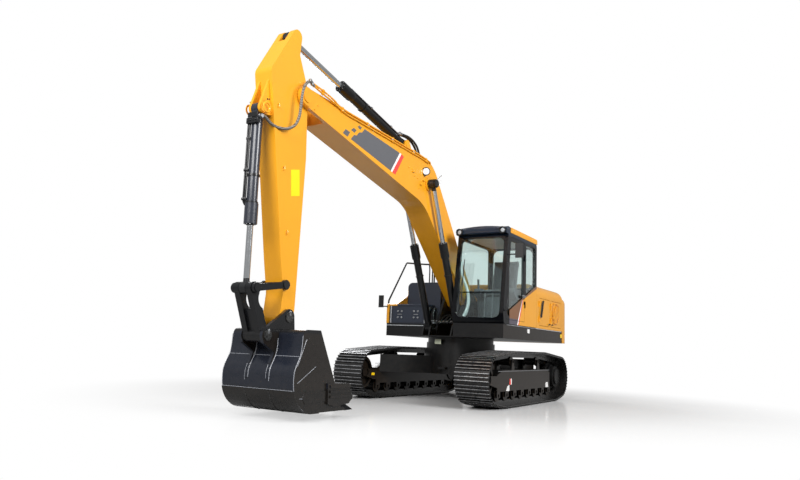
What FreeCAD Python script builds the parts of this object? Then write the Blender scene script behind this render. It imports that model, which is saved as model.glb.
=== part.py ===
import FreeCAD, Part
import math
import os
from FreeCAD import Vector as V

# Crawler excavator, millimetres.  +X points forward along the boom, +Y to the cab side, +Z up.
# The origin is on the ground under the swing axis.  Every left-hand piece has y > 0.

# ---- running gear
TRACK_GAUGE = 2380.0            # centre to centre of the two tracks
TUMBLER_DISTANCE = 3445.0       # sprocket centre to idler centre
TUMBLER_HEIGHT = 462.0
SHOE_WIDTH = 600.0
SHOE_COUNT = 49
SHOE_PLATE = 12.0
GROUSER_HEIGHT = 26.0
GROUSER_FOOT = 26.0
GROUSER_TIP = 12.0
TUMBLER_WRAP = 376.0            # radius of the shoe plates' outer face round idler and sprocket
ROLLER_SPAN = 2640.0            # first to last track roller
TRACK_HEIGHT = 944.0
CARRIER_SPAN = 1340.0           # between the two carrier rollers of one side
CHAIN_HEIGHT = 92.0
CHAIN_BAR = 40.0
CHAIN_BAR_OFFSET = 76.0         # chain bar centre from the track centre
SPROCKET_TEETH = 21
SPROCKET_PITCH_RADIUS = 322.0
SPROCKET_PLATE = 60.0
TRACK_ROLLERS = 8
TRACK_ROLLER_RADIUS = 80.0
CARRIER_RADIUS = 68.0
ROLLER_GAP = 0.3
FRAME_PLATE = 25.0
DRIVE_PLATE_RADIUS = 238.0
TRACK_FRAME_WIDTH = 300.0
TRACK_FRAME_TOP = 610.0
TRACK_FRAME_BOTTOM = 262.0
CAR_BODY_TOP = 930.0
CAR_BODY_BOTTOM = 470.0
CAR_BODY_RADIUS = 700.0
LEG_TOP = 790.0
LEG_REACH = 1060.0              # how far forward and back the legs meet the track frames
LEG_WIDTH = 430.0
BEARING_RADIUS = 660.0
BEARING_BORE_RADIUS = 500.0
BEARING_TOP = 1050.0
BEARING_GAP = 0.3
TOW_EYE_RADIUS = 32.0
TOW_EYE_X = 750.0
TOW_EYE_PLATE = 40.0
TOW_EYE_Z = 560.0

# ---- house
HOUSE_WIDTH = 2720.0
DECK_BOTTOM = 1150.0
DECK_PLATE = 18.0
DECK_TOP = 1395.0
DECK_FRONT = 1180.0             # front of the deck under the cab
BEAM_WIDTH = 32.0
TAIL_RADIUS = 2880.0
HOUSE_REAR = -2165.0            # joint between house panels and counterweight
HOUSE_FRONT_LEFT = -500.0       # just behind the cab
HOUSE_TOP = 2245.0
HOUSE_SHOULDER = 210.0          # rounding between side and top
SKIN = 22.0
PANEL_GAP = 8.0
COUNTERWEIGHT_TOP = 2130.0
COUNTERWEIGHT_CORNER = 420.0
COUNTERWEIGHT_CROWN = 150.0
HOOD_WIDTH = 1240.0
HOOD_FRONT = -900.0
HOOD_RISE = 60.0
DOOR_SILL = 1450.0
DOOR_HEAD = 1990.0
DOOR_SPLIT = -1330.0
TOOL_BOX_FRONT = 600.0
TOOL_BOX_REAR = 230.0
TOOL_BOX_INNER = -470.0
TOOL_BOX_OUTER = -1295.0
TOOL_BOX_TOP = 1735.0
SLOPE_ANGLE = 25.4              # of the right side's slope down to the tool box
SLOPE_FOOT = 1762.0             # height of that slope at the front
SIDE_BAY_INNER = 1125.0         # inner wall of the bay outside the tank
TANK_TOP = 2232.0
TANK_FRONT = 200.0
TANK_INNER = -370.0
TANK_OUTER = -1115.0
TANK_SHOULDER = 100.0
TANK_REAR = -780.0
RAIL_RADIUS = 17.0
RAIL_HEIGHT = 500.0             # above the house roof
ENGINE_LENGTH = 1150.0          # across the machine
ENGINE_WIDTH = 640.0
ENGINE_HEIGHT = 690.0
# doors, lids and their hinges
HINGE_RADIUS = 11.0
HINGE_RISE = 16.0
LEAF_LENGTH = 40.0
LEAF = 6.0
KNUCKLE = 60.0
HOOD_HINGES = (-340.0, 400.0)
LEFT_DOORS = ((DOOR_SPLIT + 20.0, HOUSE_FRONT_LEFT - 140.0), (HOUSE_REAR + 80.0, DOOR_SPLIT - 20.0))
RIGHT_DOOR = (HOUSE_REAR + 80.0, TANK_REAR - 120.0)
LID_THICKNESS = 28.0
LID_GAP = 5.0
LID_HINGES = (-SIDE_BAY_INNER + 100.0, TOOL_BOX_INNER - 240.0)

# ---- cab
CAB_INNER = 400.0
CAB_OUTER = 1372.0
CAB_REAR = -455.0
CAB_FRONT = 1215.0
CAB_NOSE = 1250.0
CAB_FLOOR = 1395.3
CAB_TOP = 3010.0
CAB_TOP_FRONT = 1040.0
CAB_WALL = 50.0
ROOF_THICKNESS = 95.0
ROOF_FRONT = 945.0
VISOR_REACH = 1150.0
MIRROR_Z = 2665.0
LAMP_RADIUS = 44.0
LAMP_Z = CAB_TOP + 17.0
GLASS = 6.0
GLASS_GAP = 0.3
DOOR_REAR = 215.0
DOOR_THICKNESS = 42.0
DOOR_GAP = 6.0
DOOR_FRONT = 1075.0
WINDOW_SILL = CAB_FLOOR + 100.0
WINDOW_HEAD = CAB_TOP - 95.0
QUARTER_SILL = 2190.0
LAMP_STATIONS = (CAB_INNER + 82.0, CAB_OUTER - 82.0)
SEAT_X = 230.0
SEAT_Y = (CAB_INNER + CAB_OUTER) / 2
SEAT_HEIGHT = CAB_FLOOR + CAB_WALL + 470.0
HEAD_CLEARANCE = 334.7          # from the top of the seat back to the cab's top
SEAT_BACK_TOP = CAB_TOP - HEAD_CLEARANCE

# ---- front attachment: pins in the plane of the boom
BOOM_FOOT_X = 100.0
BOOM_FOOT_Z = 1900.0
BOOM_LENGTH = 5690.0
BOOM_ANGLE = 23.2
BOOM_WIDTH = 410.0
BOOM_SIDE_PLATE = 10.0
BOOM_TOP_PLATE = 12.0
BOOM_FOOT_RADIUS = 160.0
BOOM_NOSE_RADIUS = 125.0
BOOM_KNEE_ALONG = 2464.0
BOOM_KNEE_RISE = 1458.0
BOOM_KNEE_ROUND = 700.0
BOOM_BELLY_ALONG = 2380.0
BOOM_BELLY_RISE = 598.0
BOOM_BELLY_ROUND = 900.0
NOSE_SLOT = 500.0
BOOM_ROD_PIN_ALONG = 2409.0
BOOM_ROD_PIN_RISE = 1002.0
ARM_BASE_PIN_ALONG = 3150.0
ARM_BASE_PIN_RISE = 1300.0
BOOM_CYLINDER_FOOT_X = 780.0
BOOM_CYLINDER_FOOT_Z = 1300.0
BOOM_CYLINDER_Y = 295.0
ARM_LENGTH = 2900.0
ARM_ANGLE = -89.2
ARM_WIDTH = 280.0
ARM_TIP_RADIUS = 122.0
ARM_ROD_PIN_BACK = 777.0
ARM_ROD_PIN_OUT = 201.0
ARM_BRACKET_DOWN = 379.0
ARM_BRACKET_OUT = 665.0
GUIDE_PIN_UP = 393.0            # from the bucket pivot
GUIDE_PIN_OUT = 95.0
GUIDE_LENGTH = 513.0
GUIDE_ANGLE = -9.2
BUCKET_LINK_LENGTH = 593.0
BUCKET_PIN_SPACING = 438.0
BUCKET_WIDTH = 1140.0
BUCKET_SHELL = 20.0
BUCKET_SIDE = 25.0
BUCKET_TIP_RADIUS = 1517.0
CUTTER_PLATE = 28.0
CUTTER_RIB = 14.0
CUTTER_RIBS = 3
TOOTH_COUNT = 5
HEEL_CENTRE = (-100.0, -745.0)
HEEL_RADIUS = 390.0
LIP = (-700.0, HEEL_CENTRE[1] - HEEL_RADIUS)
MOUTH_TOP = (-165.0, -148.0)
PIN_RADIUS = 45.0
PIN_CLEARANCE = 0.1
ROD_GAP = 0.3
NECK = 125.0
PIN_CAP = 12.0
SIDE_CLEARANCE = 6.0
EAR_PLATE = 44.0
LINK_PLATE = 40.0
BOSS_RADIUS = 88.0
BRACKET_RADIUS = 70.0
GUIDE_BOSS_RADIUS = 62.0
GUIDE_BAR_RADIUS = 42.0
BOOM_TUBE_RADIUS = 64.0
BOOM_ROD_RADIUS = 42.0
ARM_TUBE_RADIUS = 74.0
ARM_ROD_RADIUS = 42.0
BUCKET_TUBE_RADIUS = 66.0
BUCKET_ROD_RADIUS = 38.0
BOOM_BARREL_LENGTH = 1640.0
BOOM_ROD_REACH = 1610.0
ARM_BARREL_LENGTH = 1900.0
ARM_ROD_REACH = 1740.0
BUCKET_BARREL_LENGTH = 1450.0
BUCKET_ROD_REACH = 1400.0
GLAND_LENGTH = 250.0
GLAND_RISE = 16.0
LINK_CHEEK_RADIUS = 62.0
LINK_TIP_TURNS = (-59.6, -55.0, -50.0)  # link's turn about its lower pin where it passes the arm tip
EYE_WIDTH = 100.0

HALF_HOUSE = HOUSE_WIDTH / 2
HALF_BOOM = BOOM_WIDTH / 2
HALF_ARM = ARM_WIDTH / 2
EAR_INNER = HALF_ARM + SIDE_CLEARANCE
EAR_OUTER = EAR_INNER + EAR_PLATE
HOLE_RADIUS = PIN_RADIUS + PIN_CLEARANCE


# ---- plane geometry
def turned(angle, along, across=0.0):
    """Point (along, across) turned by an angle in degrees, in the X-Z plane."""
    a = math.radians(angle)
    return (along * math.cos(a) - across * math.sin(a), along * math.sin(a) + across * math.cos(a))


def shifted(origin, step):
    return (origin[0] + step[0], origin[1] + step[1])


def distance(p, q):
    return math.hypot(q[0] - p[0], q[1] - p[1])


def heading(p, q):
    return math.degrees(math.atan2(q[1] - p[1], q[0] - p[0]))


def between(p, q, share):
    return (p[0] + (q[0] - p[0]) * share, p[1] + (q[1] - p[1]) * share)


def meeting(p, p_radius, q, q_radius, side):
    """Where circles round p and q cross, on the left (+1) or right (-1) of the line p to q."""
    span = distance(p, q)
    along = (p_radius ** 2 - q_radius ** 2 + span ** 2) / (2 * span)
    across = math.sqrt(p_radius ** 2 - along ** 2)
    return shifted(p, turned(heading(p, q), along, side * across))


def tangent_pair(p, p_radius, q, q_radius, side):
    """Ends of the outer tangent of two circles, left (+1) or right (-1) of the line p to q."""
    lean = math.degrees(math.asin((p_radius - q_radius) / distance(p, q)))
    normal = heading(p, q) + side * (90.0 - lean)
    return shifted(p, turned(normal, p_radius)), shifted(q, turned(normal, q_radius))


# ---- pins of the front attachment
BOOM_FOOT = (BOOM_FOOT_X, BOOM_FOOT_Z)


def boom_point(along, rise):
    return shifted(BOOM_FOOT, turned(BOOM_ANGLE, along, rise))


ARM_PIVOT = boom_point(BOOM_LENGTH, 0.0)


def arm_point(down, out):
    return shifted(ARM_PIVOT, turned(ARM_ANGLE, down, out))


BOOM_CYLINDER_FOOT = (BOOM_CYLINDER_FOOT_X, BOOM_CYLINDER_FOOT_Z)
BOOM_ROD_PIN = boom_point(BOOM_ROD_PIN_ALONG, BOOM_ROD_PIN_RISE)
ARM_BASE_PIN = boom_point(ARM_BASE_PIN_ALONG, ARM_BASE_PIN_RISE)
ARM_ROD_PIN = arm_point(-ARM_ROD_PIN_BACK, ARM_ROD_PIN_OUT)
BUCKET_PIVOT = arm_point(ARM_LENGTH, 0.0)
GUIDE_PIVOT = arm_point(ARM_LENGTH - GUIDE_PIN_UP, GUIDE_PIN_OUT)
BRACKET_PIN = arm_point(ARM_BRACKET_DOWN, ARM_BRACKET_OUT)
LINK_PIN = shifted(GUIDE_PIVOT, turned(GUIDE_ANGLE, GUIDE_LENGTH))
BUCKET_LINK_PIN = meeting(BUCKET_PIVOT, BUCKET_PIN_SPACING, LINK_PIN, BUCKET_LINK_LENGTH, -1)


# ---- solids
def rounded_wire(corners, place):
    """Closed wire through corners (a, b, radius), each corner rounded by its radius."""
    count = len(corners)
    joints = []
    for i in range(count):
        here = corners[i]
        back = corners[i - 1]
        ahead = corners[(i + 1) % count]
        radius = here[2] if len(here) > 2 else 0.0
        if radius <= 0:
            joints.append((here, None, here))
            continue
        to_back = heading(here, back)
        to_ahead = heading(here, ahead)
        half = abs((to_ahead - to_back + 180.0) % 360.0 - 180.0) / 2
        middle = to_back + ((to_ahead - to_back + 180.0) % 360.0 - 180.0) / 2
        reach = radius / math.tan(math.radians(half))
        depth = radius / math.sin(math.radians(half)) - radius
        joints.append((shifted(here, turned(to_back, reach)), shifted(here, turned(middle, depth)),
                       shifted(here, turned(to_ahead, reach))))
    edges = []
    for i in range(count):
        start, middle, end = joints[i]
        if middle is not None:
            edges.append(Part.Arc(place(start), place(middle), place(end)).toShape())
        ahead = joints[(i + 1) % count][0]
        if distance(end, ahead) > 1e-4:
            edges.append(Part.LineSegment(place(end), place(ahead)).toShape())
    return Part.Wire(edges)


def slab_y(corners, y0, y1):
    """Prism of an X-Z outline between two Y planes."""
    wire = rounded_wire(corners, lambda p: V(p[0], y0, p[1]))
    return Part.Face(wire).extrude(V(0, y1 - y0, 0))


def slab_x(corners, x0, x1):
    """Prism of a Y-Z outline between two X planes."""
    wire = rounded_wire(corners, lambda p: V(x0, p[0], p[1]))
    return Part.Face(wire).extrude(V(x1 - x0, 0, 0))


def slab_z(corners, z0, z1):
    """Prism of an X-Y outline between two Z planes."""
    wire = rounded_wire(corners, lambda p: V(p[0], p[1], z0))
    return Part.Face(wire).extrude(V(0, 0, z1 - z0))


def block(x0, x1, y0, y1, z0, z1):
    return Part.makeBox(x1 - x0, y1 - y0, z1 - z0, V(x0, y0, z0))


def bar_y(point, radius, y0, y1):
    return Part.makeCylinder(radius, y1 - y0, V(point[0], y0, point[1]), V(0, 1, 0))


def bar_z(x, y, radius, z0, z1):
    return Part.makeCylinder(radius, z1 - z0, V(x, y, z0), V(0, 0, 1))


def bar(start, end, radius):
    return Part.makeCylinder(radius, (end - start).Length, start, end - start)


def joined(shapes):
    whole = shapes[0].multiFuse(shapes[1:]) if len(shapes) > 1 else shapes[0]
    return whole.removeSplitter()


def mirrored(shape):
    return shape.mirror(V(0, 0, 0), V(0, 1, 0))


def both_sides(shape):
    return [shape, mirrored(shape)]


def strap(p, p_radius, q, q_radius, y0, y1):
    """Plate between two Y planes with round ends at p and q and straight tangent edges."""
    upper = tangent_pair(p, p_radius, q, q_radius, 1)
    lower = tangent_pair(p, p_radius, q, q_radius, -1)
    body = slab_y([upper[0], upper[1], lower[1], lower[0]], y0, y1)
    return joined([body, bar_y(p, p_radius, y0, y1), bar_y(q, q_radius, y0, y1)])


def tube_path(points, radius, bend=60.0):
    """Bent round tube: straight runs joined by tangent arcs."""
    edges = []
    start = points[0]
    for back, here, ahead in zip(points[:-2], points[1:-1], points[2:]):
        inward = (back - here).normalize()
        outward = (ahead - here).normalize()
        half = inward.getAngle(outward) / 2
        reach = min(bend / math.tan(half), (back - here).Length * 0.45, (ahead - here).Length * 0.45)
        middle = (inward + outward).normalize() * (reach / math.cos(half) - reach * math.tan(half))
        edges.append(Part.LineSegment(start, here + inward * reach).toShape())
        edges.append(Part.Arc(here + inward * reach, here + middle, here + outward * reach).toShape())
        start = here + outward * reach
    edges.append(Part.LineSegment(start, points[-1]).toShape())
    ring = Part.Wire(Part.makeCircle(radius, points[0], points[1] - points[0]))
    return Part.Wire(edges).makePipeShell([ring], True, False)


def save(name, shapes):
    shape = shapes if isinstance(shapes, Part.Shape) else Part.makeCompound(shapes)
    shape.exportStep("parts/" + name + ".step")


# ---- running gear
def track_discs(inset):
    """Discs, anticlockwise seen from the right, whose outer hull is the track's run."""
    x = TUMBLER_DISTANCE / 2
    base = GROUSER_HEIGHT + 200.0
    crown = TRACK_HEIGHT - GROUSER_HEIGHT - 160.0
    low = [(-ROLLER_SPAN / 2, base, 200.0 - inset), (ROLLER_SPAN / 2, base, 200.0 - inset)]
    high = [(CARRIER_SPAN / 2, crown, 160.0 - inset), (-CARRIER_SPAN / 2, crown, 160.0 - inset)]
    front = [(x, TUMBLER_HEIGHT, TUMBLER_WRAP - inset)]
    rear = [(-x, TUMBLER_HEIGHT, TUMBLER_WRAP - inset)]
    return low + front + high + rear


def track_run(inset, y=0.0):
    """Closed wire of the track's run, drawn in from the shoe plates' outer face by the inset."""
    discs = track_discs(inset)
    count = len(discs)
    lines = []
    for i in range(count):
        a = discs[i]
        b = discs[(i + 1) % count]
        lines.append(tangent_pair(a[:2], a[2], b[:2], b[2], -1))
    edges = []
    for i in range(count):
        start, end = lines[i]
        following = lines[(i + 1) % count][0]
        disc = discs[(i + 1) % count]
        edges.append(Part.LineSegment(V(start[0], y, start[1]), V(end[0], y, end[1])).toShape())
        a0 = heading(disc[:2], end)
        sweep = (heading(disc[:2], following) - a0) % 360.0
        middle = shifted(disc[:2], turned(a0 + sweep / 2, disc[2]))
        arc = Part.Arc(V(end[0], y, end[1]), V(middle[0], y, middle[1]), V(following[0], y, following[1]))
        edges.append(arc.toShape())
    return Part.Wire(edges)


def shoe_corners(start, end):
    """Outer outline of one shoe from joint to joint: a plate with three grouser bars."""
    length = distance(start, end)
    lie = heading(start, end)
    corners = []
    for share in (0.17, 0.5, 0.83):
        middle = share * length
        for along, rise in ((-GROUSER_FOOT / 2, 0.0), (-GROUSER_TIP / 2, GROUSER_HEIGHT),
                            (GROUSER_TIP / 2, GROUSER_HEIGHT), (GROUSER_FOOT / 2, 0.0)):
            corners.append(shifted(start, turned(lie, middle + along, -rise)))
    return corners


def track_loop(side):
    """One track: all its shoes in one outline, with the two bars of its chain inside."""
    y = side * TRACK_GAUGE / 2
    run = track_run(0.0).discretize(SHOE_COUNT + 1)
    corners = []
    for start, end in zip(run[:-1], run[1:]):
        corners += shoe_corners((start.x, start.z), (end.x, end.z))
    y0 = y - SHOE_WIDTH / 2
    points = [V(p[0], y0, p[1]) for p in corners]
    outer = Part.Face(Part.makePolygon(points + points[:1]))
    inner = Part.Face(track_run(SHOE_PLATE, y0))
    band = outer.cut(inner).extrude(V(0, SHOE_WIDTH, 0))
    pieces = [band]
    for offset in (-CHAIN_BAR_OFFSET, CHAIN_BAR_OFFSET):
        y1 = y + offset - CHAIN_BAR / 2
        chain = Part.Face(track_run(SHOE_PLATE - 1.0, y1)).cut(Part.Face(track_run(CHAIN_HEIGHT, y1)))
        pieces.append(chain.extrude(V(0, CHAIN_BAR, 0)))
    return joined(pieces)


def sprocket(side):
    """Toothed rim between the chain bars, with the final drive's housing inside it."""
    y = side * TRACK_GAUGE / 2
    centre = (-TUMBLER_DISTANCE / 2, TUMBLER_HEIGHT)
    root = SPROCKET_PITCH_RADIUS - 38.0
    tip = SPROCKET_PITCH_RADIUS + 8.0
    step = 360.0 / SPROCKET_TEETH
    corners = []
    for i in range(SPROCKET_TEETH):
        for share, radius in ((-0.32, root), (-0.14, tip), (0.14, tip), (0.32, root)):
            corners.append(shifted(centre, turned((i + share) * step, radius)))
    rim = slab_y(corners, y - SPROCKET_PLATE / 2, y + SPROCKET_PLATE / 2)
    inner = -side * (TRACK_FRAME_WIDTH / 2 + 20.0)
    drum = bar_y(centre, 205.0, *sorted((y + side * 150.0, y + inner)))
    cover = bar_y(centre, 150.0, *sorted((y + side * 150.0, y + side * 185.0)))
    flange = bar_y(centre, 235.0, *sorted((y + side * 55.0, y + side * 75.0)))
    return joined([rim, drum, cover, flange])


def idler(side):
    """Front idler: rim that the chain bars run on, centre flange between them, and hub."""
    y = side * TRACK_GAUGE / 2
    centre = (TUMBLER_DISTANCE / 2, TUMBLER_HEIGHT)
    tread = TUMBLER_WRAP - CHAIN_HEIGHT - ROLLER_GAP
    half = CHAIN_BAR_OFFSET + CHAIN_BAR / 2
    rim = bar_y(centre, tread, y - half, y + half)
    flange = bar_y(centre, tread + 30.0, y - SPROCKET_PLATE / 2, y + SPROCKET_PLATE / 2)
    pieces = [rim, flange, bar_y(centre, 75.0, y - half - 34.0, y + half + 34.0)]
    body = joined(pieces)
    for face in (-1, 1):
        edge = y + face * half
        dish = bar_y(centre, tread - 45.0, *sorted((edge, edge - face * 45.0)))
        hub = bar_y(centre, 95.0, *sorted((edge, edge - face * 45.0)))
        body = body.cut(dish.cut(hub))
    return body


def roller(x, z, radius, y, reach):
    """Flanged roller on its shaft, carrying both chain bars."""
    half = CHAIN_BAR_OFFSET + CHAIN_BAR / 2
    tread = bar_y((x, z), radius, y - half, y + half)
    flanges = [bar_y((x, z), radius + 20.0, *sorted((y + s * (half + 3.0), y + s * (half + 21.0))))
               for s in (-1, 1)]
    collar = bar_y((x, z), radius - 12.0, y - half - 21.0, y + half + 21.0)
    shaft = bar_y((x, z), 30.0, y - reach, y + reach)
    return joined([tread, collar, shaft] + flanges)


def roller_stations():
    pitch = ROLLER_SPAN / (TRACK_ROLLERS - 1)
    return [-ROLLER_SPAN / 2 + i * pitch for i in range(TRACK_ROLLERS)]


ROLLER_AXIS_Z = GROUSER_HEIGHT + CHAIN_HEIGHT + ROLLER_GAP + TRACK_ROLLER_RADIUS
CARRIER_AXIS_Z = TRACK_HEIGHT - GROUSER_HEIGHT - CHAIN_HEIGHT - ROLLER_GAP - CARRIER_RADIUS


def rollers(side):
    """The track rollers and carrier rollers of one side."""
    y = side * TRACK_GAUGE / 2
    reach = TRACK_FRAME_WIDTH / 2 - FRAME_PLATE
    pieces = [roller(x, ROLLER_AXIS_Z, TRACK_ROLLER_RADIUS, y, reach) for x in roller_stations()]
    for x in (-CARRIER_SPAN / 2, CARRIER_SPAN / 2):
        pieces.append(roller(x, CARRIER_AXIS_Z, CARRIER_RADIUS, y, reach))
    return pieces


def track_frame(side):
    """Inverted channel that the rollers hang in, with brackets for idler, drive and carriers."""
    y = side * TRACK_GAUGE / 2
    half = TRACK_FRAME_WIDTH / 2
    front = TUMBLER_DISTANCE / 2 - 340.0
    rear = TUMBLER_DISTANCE / 2 - SPROCKET_PITCH_RADIUS - 38.0
    top = TRACK_FRAME_TOP
    low = TRACK_FRAME_BOTTOM
    outline = [(front, low), (front, top - 70.0), (front - 260.0, top), (-rear + 200.0, top),
               (-rear, top - 60.0), (-rear, low)]
    outer = slab_y(outline, y - half, y + half)
    t = FRAME_PLATE
    inside = [(front + 1, low - 1), (front + 1, top - 70.0 - t), (front - 265.0, top - t),
              (-rear + 205.0, top - t), (-rear - 1, top - 60.0 - t), (-rear - 1, low - 1)]
    body = outer.cut(slab_y(inside, y - half + t, y + half - t))
    pieces = [body]
    ear_low = ROLLER_AXIS_Z - 34.0
    for s in (-1, 1):
        y0, y1 = sorted((y + s * half, y + s * (half - t)))
        for x in roller_stations():
            pieces.append(block(x - 70.0, x + 70.0, y0, y1, ear_low, low + 5.0))
        yoke = [(front - 120.0, low + 40.0), (front - 120.0, top - 90.0),
                (TUMBLER_DISTANCE / 2 + 60.0, TUMBLER_HEIGHT + 62.0, 50.0),
                (TUMBLER_DISTANCE / 2 + 60.0, TUMBLER_HEIGHT - 62.0, 50.0)]
        pieces.append(slab_y(yoke, y0, y1))
        for x in (-CARRIER_SPAN / 2, CARRIER_SPAN / 2):
            post = [(x - 75.0, top - 20.0), (x - 36.0, CARRIER_AXIS_Z + 36.0, 30.0),
                    (x + 36.0, CARRIER_AXIS_Z + 36.0, 30.0), (x + 75.0, top - 20.0)]
            pieces.append(slab_y(post, y0, y1))
    inner = -side
    drive_x = -TUMBLER_DISTANCE / 2
    y0, y1 = sorted((y + inner * half, y + inner * (half - t)))
    plate = [(-rear + 60.0, low + 20.0), (-rear + 60.0, top - 45.0),
             (drive_x, TUMBLER_HEIGHT + DRIVE_PLATE_RADIUS),
             (drive_x, TUMBLER_HEIGHT - DRIVE_PLATE_RADIUS)]
    pieces.append(bar_y((drive_x, TUMBLER_HEIGHT), DRIVE_PLATE_RADIUS, y0, y1))
    pieces.append(slab_y(plate, y0, y1))
    frame = joined(pieces)
    drum = bar_y((drive_x, TUMBLER_HEIGHT), 205.0 + ROLLER_GAP, y - half - 60.0, y + half + 60.0)
    frame = frame.cut(drum)
    holes = [bar_y((x, ROLLER_AXIS_Z), 30.0 + PIN_CLEARANCE, y - half - 1, y + half + 1)
             for x in roller_stations()]
    for x in (-CARRIER_SPAN / 2, CARRIER_SPAN / 2):
        holes.append(bar_y((x, CARRIER_AXIS_Z), 30.0 + PIN_CLEARANCE, y - half - 1, y + half + 1))
    hub = (TUMBLER_DISTANCE / 2, TUMBLER_HEIGHT)
    holes.append(bar_y(hub, 75.0 + ROLLER_GAP, y - half - 1, y + half + 1))
    return frame.cut(Part.makeCompound(holes))


def leg(x_sign, y_sign, z0, z1, shrink):
    """One leg of the car body, from the centre out to the track frame."""
    side = TRACK_GAUGE / 2 - TRACK_FRAME_WIDTH / 2
    half = LEG_WIDTH / 2 - shrink
    root = (0.33 * CAR_BODY_RADIUS, 0.55 * CAR_BODY_RADIUS)
    corners = [(x_sign * (LEG_REACH - half - 90.0), y_sign * side),
               (x_sign * (LEG_REACH + half), y_sign * side),
               (x_sign * (root[0] + half + 120.0), y_sign * (root[1] - half * 0.6)),
               (x_sign * 40.0, y_sign * (root[1] - half * 0.6)),
               (x_sign * (root[0] - half * 0.2), y_sign * (root[1] + half * 0.5))]
    return slab_z(corners, z0, z1)


def car_body():
    """X-shaped welded box between the track frames, with the swing bearing's ring on top."""
    outer = [bar_z(0, 0, CAR_BODY_RADIUS, CAR_BODY_BOTTOM, CAR_BODY_TOP)]
    t = FRAME_PLATE
    inner = [bar_z(0, 0, CAR_BODY_RADIUS - t, CAR_BODY_BOTTOM + t, CAR_BODY_TOP - t)]
    leg_top = LEG_TOP
    for x_sign in (-1, 1):
        for y_sign in (-1, 1):
            outer.append(leg(x_sign, y_sign, CAR_BODY_BOTTOM, leg_top, 0.0))
            inner.append(leg(x_sign, y_sign, CAR_BODY_BOTTOM + t, leg_top - t, t))
    side = TRACK_GAUGE / 2 - TRACK_FRAME_WIDTH / 2
    body = joined(outer).cut(joined(inner))
    caps = [block(-LEG_REACH - LEG_WIDTH, LEG_REACH + LEG_WIDTH, *sorted((s * side, s * (side - t))),
                  CAR_BODY_BOTTOM + 1, leg_top - 1).common(joined(outer)) for s in (-1, 1)]
    ring = bar_z(0, 0, BEARING_RADIUS, CAR_BODY_TOP - 1, BEARING_TOP)
    bore = bar_z(0, 0, BEARING_BORE_RADIUS, CAR_BODY_TOP - t - 1, BEARING_TOP + 1)
    body = joined([body] + caps + [ring])
    body = body.cut(bore).cut(bar_z(0, 0, 260.0, CAR_BODY_BOTTOM - 1, CAR_BODY_BOTTOM + t + 1))
    lugs = []
    for x_sign in (-1, 1):
        x0, x1 = sorted((x_sign * (CAR_BODY_RADIUS - 20.0), x_sign * (TOW_EYE_X + 60.0)))
        lug = block(x0, x1, -70.0, 70.0, TOW_EYE_Z, TOW_EYE_Z + TOW_EYE_PLATE)
        lugs.append(lug.cut(bar_z(x_sign * TOW_EYE_X, 0, TOW_EYE_RADIUS, TOW_EYE_Z - 5.0,
                                  TOW_EYE_Z + TOW_EYE_PLATE + 5.0)))
    return joined([body] + lugs)


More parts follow.
